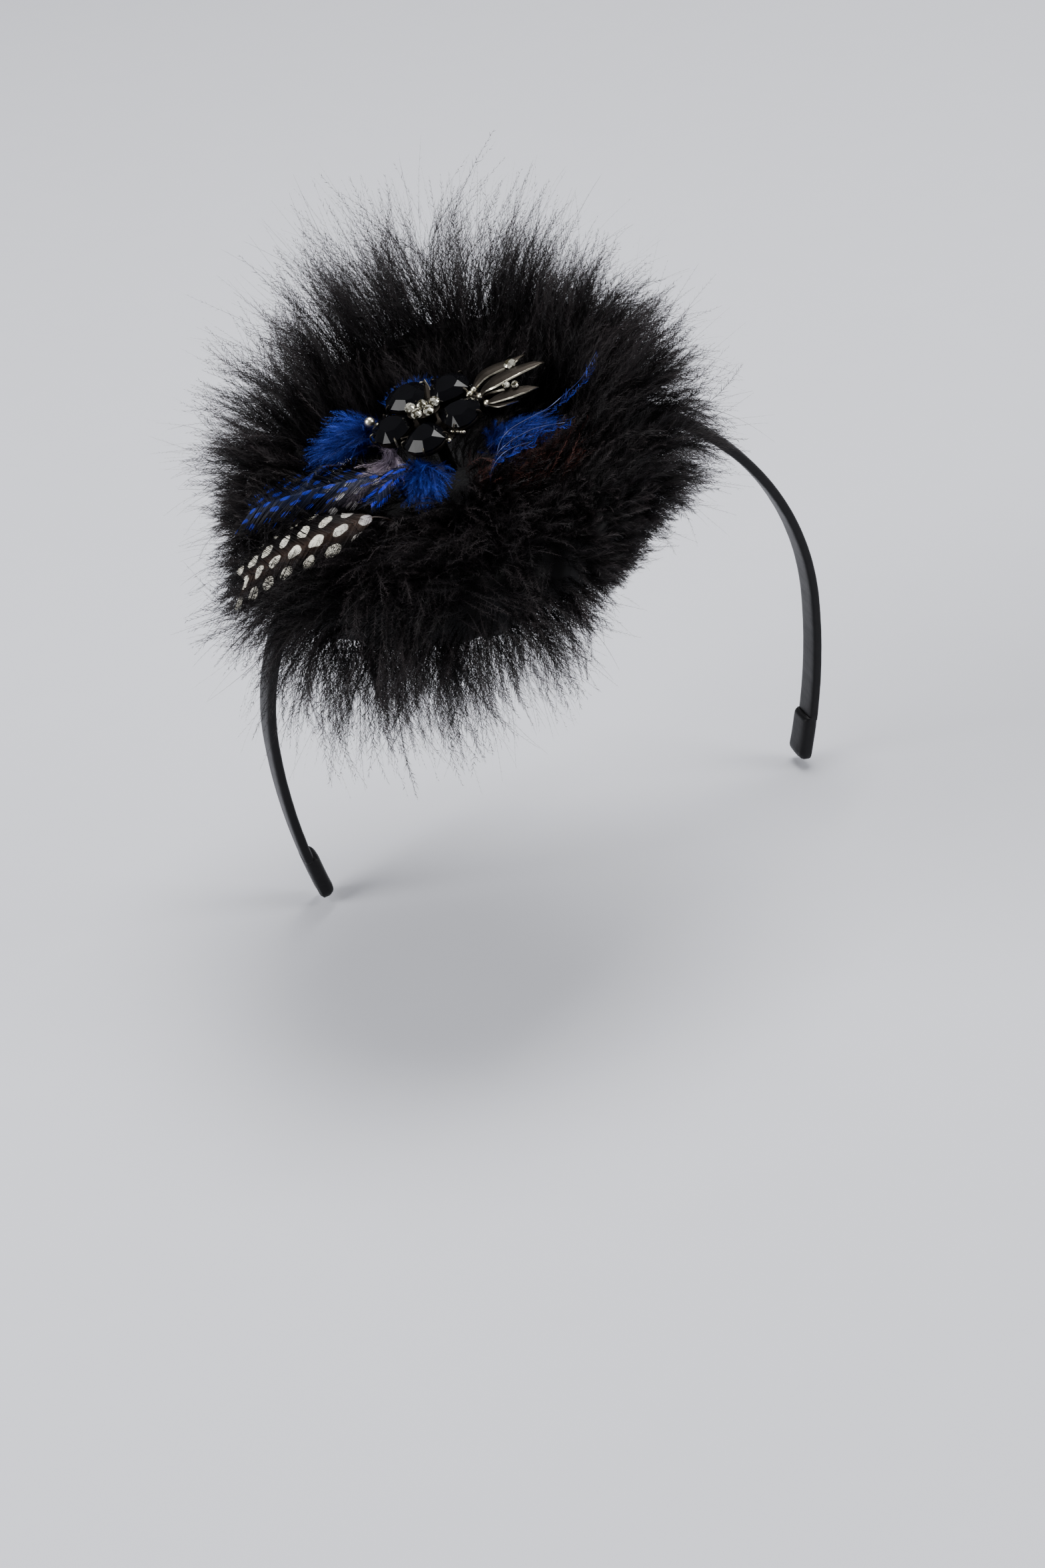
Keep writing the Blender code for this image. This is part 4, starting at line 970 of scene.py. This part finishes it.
# Pale patches at noise-placed spots along the dark blue shaft are painted highlights.
CURL_SHAFT.paint(CURL_SHAFT.noise(CURL_SHAFT.place(), 150).above(0.56, 0.12), (0.006, 0.014, 0.10),
                 (0.16, 0.20, 0.42))


def make_curl(name, spine_places, count=150):
    spine = smooth_path(on_disc(*np.array(spine_places).T), 10)
    tangent, across, _ = spine_frames(spine)
    make_tube(name + "_shaft", shaft_rings(spine, 0.17, 0.05, 5), CURL_SHAFT)
    place = between(len(spine) * 0.32, len(spine) - 1.01, count)
    index = place.astype(int)
    side = np.where(CHANCE.random(count) < 0.5, -1, 1)[:, None]
    roots = spine[index] + (spine[index + 1] - spine[index]) * (place - index)[:, None]
    reach = (0.75 + 0.45 * np.sin(place * 0.55)) * between(1.2, 2.6, count)
    way = unit(tangent[index] * 0.86 + across[index] * side * 0.5)
    spine = arc_spines(roots, way, way, reach, around(0, 0.1, (count, 3)), steps=4)
    barbs = make_barbs(spine, np.full(count, 0.22), 6, np.full(count, 0.5))
    make_down(name + "_vane", [barbs], CURL_BLUE, [name])


for curl, places in CURLS.items():
    make_curl(curl, places)

# %% [markdown]
# ## Brooch metal and stones
# The setting is dark gunmetal, rubbed to a warm cream on its raised edges. A UV map holds that wear, from
# 0 in the hollows to 1 on the beads. The cream is partly real wear and partly a painted highlight on the
# beads, balls, claws and one outer edge of each leaf. The big stones are near-black under a thin clear
# coat. The small ones are foiled: their many small mirrors are painted reflections, drawn as cells that
# are each dark or bright, and the brightest cells have a painted glow.

# %% Finishes for metal and stones
def gunmetal_finish():
    finish = Finish("dark_gunmetal", {"Metallic": 1})
    place = finish.place()
    _, wear, _ = finish.vane_place()
    stain = finish.noise(place, 420, 4)
    # Cream where this mask is high: real wear on raised edges and a painted highlight on beads, balls, claws
    # and one leaf edge.
    worn_and_highlit = (wear + 0.22 - finish.noise(place, 170, 3) * 0.85).above(0.62, 0.2)
    finish.paint(worn_and_highlit, finish.mix(stain, (0.014, 0.012, 0.010), (0.045, 0.038, 0.032)), (0.80, 0.75, 0.60))
    finish.drive("Roughness", 0.5 - worn_and_highlit * 0.24 + stain * 0.08)
    finish.bump(finish.noise(place, 1900, 2), 0.00004, 0.4)
    return finish


def jet_finish():
    finish = Finish("cut_jet", {"Roughness": 0.03, "Specular IOR Level": 0.16, "Coat Weight": 0.05,
                                "Coat Roughness": 0.02})
    finish.paint(finish.noise(finish.place(), 240, 2), (0.0010, 0.0010, 0.0014), (0.003, 0.003, 0.004))
    return finish


def crystal_finish():
    # A painted glow, with cells painted as bright or dark reflections of facets.
    finish = Finish("foiled_crystal_painted_glints", {"Roughness": 0.08, "Metallic": 0.8, "Coat Weight": 1,
                                       "Coat Roughness": 0.01, "Emission Strength": 0.3})
    painted_facet_glints = finish.add("TexVoronoi", {"feature": "F1"}, {"Vector": finish.place(), "Scale": 1500}, "Color")
    shade = finish.add("SeparateColor", None, {0: painted_facet_glints})
    # Painted reflections: each cell is a dark or a bright facet.
    finish.paint(shade.above(0.5, 0.3), (0.10, 0.085, 0.04), (0.95, 0.92, 0.78))
    # Painted glow on the brightest cells.
    finish.drive("Emission Color", finish.mix(shade.above(0.78, 0.1), (0, 0, 0), (1, 0.98, 0.86)))
    return finish


GUNMETAL = gunmetal_finish()
JET = jet_finish()
CRYSTAL = crystal_finish()
for node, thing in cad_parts.items():
    for start, finish in (("jet", JET), ("centre", CRYSTAL), ("spray", CRYSTAL)):
        if node.startswith(start):
            thing.data.materials.clear()
            thing.data.materials.append(finish.material)
print("stones and crystals finished")

# %% [markdown]
# ## The brooch's setting
# Five drop-shaped cups with claws stand on a plate, with two blades, a ball and a row of beads between
# them and a spray of four leaves. All of it is soldered, so it is one piece. Turned parts come from a
# profile, wires from a path with a round section, and leaves from a path with a ridged section.

# %% The flower's own frame and its sizes
FLOWER_ORIGIN = on_disc(*FLOWER)
FLOWER_Z = unit(FLOWER_ORIGIN - DOME_CENTRE)
FLOWER_X = unit(DISC_U - FLOWER_Z * (DISC_U @ FLOWER_Z))
FLOWER_AXES = np.stack([FLOWER_X, np.cross(FLOWER_Z, FLOWER_X), FLOWER_Z])
FLOWER_TURN = 32.5
SHARP_ANGLE = math.radians(48)
PETALS = 5
PETAL_AT = 8.5
PETAL_LENGTH = 10.6
PETAL_WIDTH = 11.4
PETAL_SIDE = PETAL_WIDTH * 0.445
BETWEEN_PETALS = FLOWER_TURN + 180 / PETALS
print("flower at", FLOWER_ORIGIN.round(2))

# %% Shapes of the setting
def turned(points, angle, distance=0):
    """Points moved outwards and then turned about the flower's middle."""
    points = np.asarray(points, float) + np.array([distance, 0, 0])
    cos, sin = cos_sin(angle)
    return points @ np.array([[cos, sin, 0], [-sin, cos, 0], [0, 0, 1]])


def tube_with_wear_and_highlight(rings, wear):
    wear = np.broadcast_to(wear, rings.shape[:2])
    return rings, tube_faces(*rings.shape[:2]), pairs(wear, wear)


def circle(radius_x, radius_y, sides=24, blunt=0):
    """An oval outline. Blunt draws its end at the flower's middle to a blunt point."""
    angle = 2 * np.pi * np.arange(sides) / sides
    x, y = np.cos(angle), np.sin(angle)
    return np.stack([x * radius_x, y * radius_y * (1 - blunt * (0.5 - 0.5 * x) ** 2)], -1)


def stacked(outline, levels, wear):
    """A closed form from one outline at several scales and heights."""
    rings = np.stack([np.insert(outline * scale, 2, height, 1) for scale, height in levels])
    return tube_with_wear_and_highlight(rings, wear)


# Balls are cream by default: wear and a painted highlight.
def ball(middle, radius, wear=0.9):
    tilt = np.linspace(0.02, np.pi - 0.02, 11)
    levels = [(radius * math.sin(angle), -radius * math.cos(angle)) for angle in tilt]
    rings, faces, places = stacked(circle(1, 1, 14), levels, wear)
    return rings + np.asarray(middle), faces, places


def wire(path, radius, wear=0.5):
    """A round wire with rounded ends along a path of points."""
    path = smooth_path(path, 4)
    tangent = unit(np.gradient(path, axis=0))
    side = unit(np.cross(tangent, np.array([0.03, 0.05, 1])))
    taper = np.ones(len(path))
    taper[[0, -1]] = 0.45
    return tube_with_wear_and_highlight(round_rings(path, side, np.cross(side, tangent), radius * taper, 10), wear)


LEAF_SECTION = np.array([
    # across, up, wear and painted highlight: the outer edge at 1 across is painted lighter
    (-1, 0, 0.2), (-0.88, 0.42, 0.2), (-0.45, 0.5, 0), (-0.1, 0.75, 0.3), (0.1, 0.75, 0.3),
    (0.5, 0.45, 0), (0.86, 0.5, 0.98), (1, 0, 0.9), (0.6, -0.5, 0), (-0.6, -0.5, 0)])


def leaf(path, half_widths, thickness=0.5):
    """A leaf that is flat below, hollow on either side above and has a ridge along its middle."""
    path = smooth_path(path, 6)
    at = np.linspace(0, len(half_widths) - 1, len(path))
    half = np.interp(at, np.arange(len(half_widths)), half_widths)[:, None, None]
    tangent = unit(np.gradient(path, axis=0))
    side = unit(np.cross(tangent, np.array([0, 0, 1])))[:, None]
    face = np.cross(side, tangent[:, None])
    across, up, wear = LEAF_SECTION.T
    return tube_with_wear_and_highlight(path[:, None] + side * across[:, None] * half + face * up[:, None] * thickness, wear)


def petal_cup(angle):
    """A cup under one stone with its rim, and three claws that hold the stone."""
    outline = circle(PETAL_LENGTH / 2, PETAL_WIDTH / 2, 40, blunt=0.55)
    levels = ((0.5, -1.9), (0.8, -1.8), (0.9, -1.2), (0.955, -0.35), (0.93, -0.04), (0.5, -0.04))
    parts = [stacked(outline, levels, 0.25)]
    claw = [(-1.4, 0, -1.1), (0.3, 0, -1), (0.55, 0, 0.2), (0.35, 0, 1.1), (-0.5, 0, 1.45)]
    for x, y, spin in ((PETAL_LENGTH / 2, 0, 0), (0.8, PETAL_SIDE, 90), (0.8, -PETAL_SIDE, -90)):
        parts.append(wire(turned(claw, spin) + np.array([x, y, 0]), 0.24, 0.72))
    return [(turned(points, angle, PETAL_AT), faces, wear) for points, faces, wear in parts]


print("parts in a petal's cup:", len(petal_cup(0)))

# %% Where each part of the setting lies
SPRAY_LEAVES = (
    (((12.4, -0.1, 0.4), (13.9, 0.3, 1.5), (16.1, 0.9, 2.2), (19.4, 1, 2.2), (22.4, 0.8, 2),
      (26.7, 1.6, 1.6)), (0.5, 1.1, 1.7, 1.7, 1.4, 0.12)),
    (((12.9, -3.3, 0.4), (14.6, -3.5, 1.8), (17.1, -4.1, 2.7), (22, -4.2, 2.9), (27, -4.3, 2.4),
      (29.6, -4.6, 1.7)), (0.5, 1.3, 2, 1.9, 1.2, 0.12)),
    (((13.4, -6.8, 0.4), (15.4, -8.1, 1.3), (19.5, -9.5, 1.8), (22.5, -10.2, 1.6), (25.5, -11, 1)),
     (0.5, 1.3, 1.8, 1.4, 0.12)),
    (((13.4, -6.8, 0.2), (15.7, -9.8, 0.6), (19.8, -12, 0.8)), (0.5, 0.9, 0.12)),
)
SPRAY_JOINTS = np.array([(11.1, -0.5, 0), (12.4, -0.1, 0.3), (12.9, -3.3, 0.3), (13.4, -6.8, 0.3)])
STEM_END = SPRAY_JOINTS[2] + np.array([0.4, 0, -1.1])
SPRAY_STONES = (
    # joint, u, w, height, size
    (1, 22.4, -1, 2.9, 2.9),
    (2, 19.1, -7, 2.5, 1.8),
    (2, 20.9, -8.3, 2.5, 1.8),
)
BEAD_ROW = ((9.4, 0.8), (10.05, 1.2), (10.7, 1.65), (11.4, 2.1), (12.05, 2.5))
BEAD_HEIGHT = -0.8
BEAD_WIRE = BEAD_HEIGHT - 0.5
LONE_BEAD = (11.2, -1.4)
CLUSTER_PITCH = 3
CLUSTER_TURN = -18
CLUSTER_SHIFT = np.array([-0.4, -0.8, 0])
CLUSTER_PRONGS = ((0.5, 0.07), (-0.5, 0.07), (0, -0.22), (-1, -0.25), (1, -0.25), (0.5, 0.9), (-0.5, 0.9))


def middle_parts():
    """The plate, the post below it and the cup that holds the cluster of crystals."""
    plate = ((0.2, -2.6), (0.96, -2.6), (1, -2.4), (1, -1.6), (0.96, -1.4), (0.2, -1.4))
    post = ((1, -FLOWER[2] + GAP), (1, -2))
    cup = ((0.9, -1.8), (1, 1), (1.6, 2.1), (1.7, 2.25), (1.5, 2.28))
    points, faces, wear = stacked(circle(2.4, 1.6), cup, 0.45)
    parts = [stacked(circle(6.2, 6.2), plate, 0.1), stacked(circle(1.5, 1.5), post, 0.1),
             (turned(points, CLUSTER_TURN) + CLUSTER_SHIFT, faces, wear)]
    for along, across in CLUSTER_PRONGS:
        prong = turned((along * CLUSTER_PITCH, across * CLUSTER_PITCH, 3.2), CLUSTER_TURN)
        parts.append(ball(prong + CLUSTER_SHIFT, 0.24, 0.5))
    return parts


def between_petals(angle, *places):
    return turned([(3, 0, -1.9), *places], BETWEEN_PETALS + angle)


def parts_between_petals():
    """The two blades, the ball at the side and the row of beads, each between two petals."""
    parts = []
    for spread, reach, height in ((4.5, 12.3, 0.5), (-9, 11.8, -0.3)):
        path = between_petals(spread, (6, 0, -1.9), (9, 0, -0.9), (reach, 0, height))
        parts.append(leaf(path, (0.7, 0.8, 1.1, 1.15, 0.15), 0.45))
    side_ball = between_petals(83, (9, 0, -1.4), (13.8, 0, -0.7), (14.4, 0, 0.2))
    parts += [wire(side_ball[:3], 0.5, 0.2), ball(side_ball[3], 1.35)]
    parts.append(leaf(between_petals(144, (6.5, 0, -0.9), (9.6, 0, 1)), (0.7, 0.5, 0.25), 0.4))
    parts.append(leaf(between_petals(216, (8, 0, -1.5), (11, 0, BEAD_WIRE)), (0.7, 0.6, 0.5), 0.4))
    beads = [(*place, BEAD_HEIGHT, 0.42) for place in BEAD_ROW] + [(*LONE_BEAD, BEAD_HEIGHT - 0.2, 0.65)]
    low = BETWEEN_PETALS + 216
    parts += [ball(turned((x, y, z), low), radius, 1) for x, y, z, radius in beads]
    for places, radius in ((BEAD_ROW[::2], 0.3), ((BEAD_ROW[1], LONE_BEAD), 0.25)):
        parts.append(wire(turned([(*place, BEAD_WIRE) for place in places], low), radius))
    return parts


def spray_parts():
    """The stem, the joints, the four leaves and the stalks and cups of the three crystals."""
    parts = [wire([(4, 0, -1.9), (8, -1.6, -1.5), STEM_END], 0.75, 0.2)]
    for joint in SPRAY_JOINTS:
        parts += [ball(joint, 0.85), wire([STEM_END, joint + np.array([0, 0, -0.3])], 0.45, 0.2)]
    parts += [leaf(path, half_widths) for path, half_widths in SPRAY_LEAVES]
    for joint, x, y, height, size in SPRAY_STONES:
        end = np.array([x, y, height - GAP - 0.6])
        middle = (SPRAY_JOINTS[joint] + end) / 2 + np.array([0, 0, 0.3])
        cup = ((0.5, -0.5), (0.85, -0.3), (1, 0.6), (0.8, 0.6))
        points, faces, wear = stacked(circle(size * 0.47, size * 0.47), cup, 0.6)
        parts += [wire([SPRAY_JOINTS[joint], middle, end], 0.35, 0.7), (points + end, faces, wear)]
    return parts


parts = middle_parts()
for petal in range(PETALS):
    parts += petal_cup(FLOWER_TURN + 360 / PETALS * petal)
points, faces, places = join(parts + parts_between_petals() + spray_parts())
setting = make_piece("gunmetal_setting", FLOWER_ORIGIN + points @ FLOWER_AXES, faces, GUNMETAL,
                     ["brooch_setting"], places)
setting.data.set_sharp_from_angle(angle=SHARP_ANGLE)

# %% [markdown]
# ## Floor, light and camera
# The floor is one wide plane in a pale grey with a breath of lavender. Large soft lights stand left and
# right, as the bright facets of the stones show. The camera is placed from the band's outline in the
# photograph: left of the middle, well above it and rolled a little.

# %% Floor and lights
FLOOR_Z = -0.1165


def make_floor():
    finish = Finish("pale_paper", {"Roughness": 0.9, "Specular IOR Level": 0.1})
    finish.paint(finish.noise(finish.place(), 60, 3), (0.68, 0.69, 0.745), (0.70, 0.71, 0.765))
    bpy.ops.mesh.primitive_plane_add(size=12, location=(0, 2, FLOOR_Z))
    floor = bpy.context.active_object
    floor.name = "paper_floor"
    floor.data.materials.append(finish.material)


def soft_light(name, place, size, power, target=(0, 0, -0.02)):
    light = bpy.data.lights.new(name, "AREA")
    light.shape = "RECTANGLE"
    light.size, light.size_y = size
    light.energy = power
    lamp = bpy.data.objects.new(name, light)
    lamp.location = place
    lamp.rotation_euler = (Vector(target) - Vector(place)).to_track_quat("-Z", "Y").to_euler()
    bpy.context.scene.collection.objects.link(lamp)


make_floor()
soft_light("left_softbox", (-1.25, -0.1, 0.75), (0.85, 0.85), 20)
soft_light("right_softbox", (1.3, -0.8, 0.7), (0.7, 1), 15)
soft_light("top_softbox", (0.3, 0.3, 1.6), (0.9, 0.9), 34)
world = bpy.data.worlds.new("pale_room")
world.use_nodes = True
world.node_tree.nodes["Background"].inputs["Color"].default_value = (0.93, 0.94, 1, 1)
world.node_tree.nodes["Background"].inputs["Strength"].default_value = 0.2
bpy.context.scene.world = world
print("lights:", len(bpy.data.lights))

# %% The camera, from the photograph
AZIMUTH = -15.53
ELEVATION = 29.07
ROLL = 8.12
DISTANCE = 933.8
LOOKED_AT = Vector((-13.3, -10.7, -93.7))
LENS = 85


def make_camera():
    cos, sin = cos_sin(AZIMUTH)
    cos_up, sin_up = cos_sin(ELEVATION)
    cos_roll, sin_roll = cos_sin(ROLL)
    level = Vector((cos, sin, 0))
    back = Vector((sin * cos_up, -cos * cos_up, sin_up))
    right = level * cos_roll - back.cross(level) * sin_roll
    camera = bpy.data.objects.new("camera", bpy.data.cameras.new("camera"))
    camera.data.lens = LENS
    camera.data.clip_start = 0.05
    rotation = Matrix((right, back.cross(right), back)).transposed().to_4x4()
    camera.matrix_world = Matrix.Translation((LOOKED_AT + back * DISTANCE) * MM) @ rotation
    bpy.context.scene.collection.objects.link(camera)
    bpy.context.scene.camera = camera
    print("camera at", [round(value, 4) for value in camera.matrix_world.translation])


make_camera()
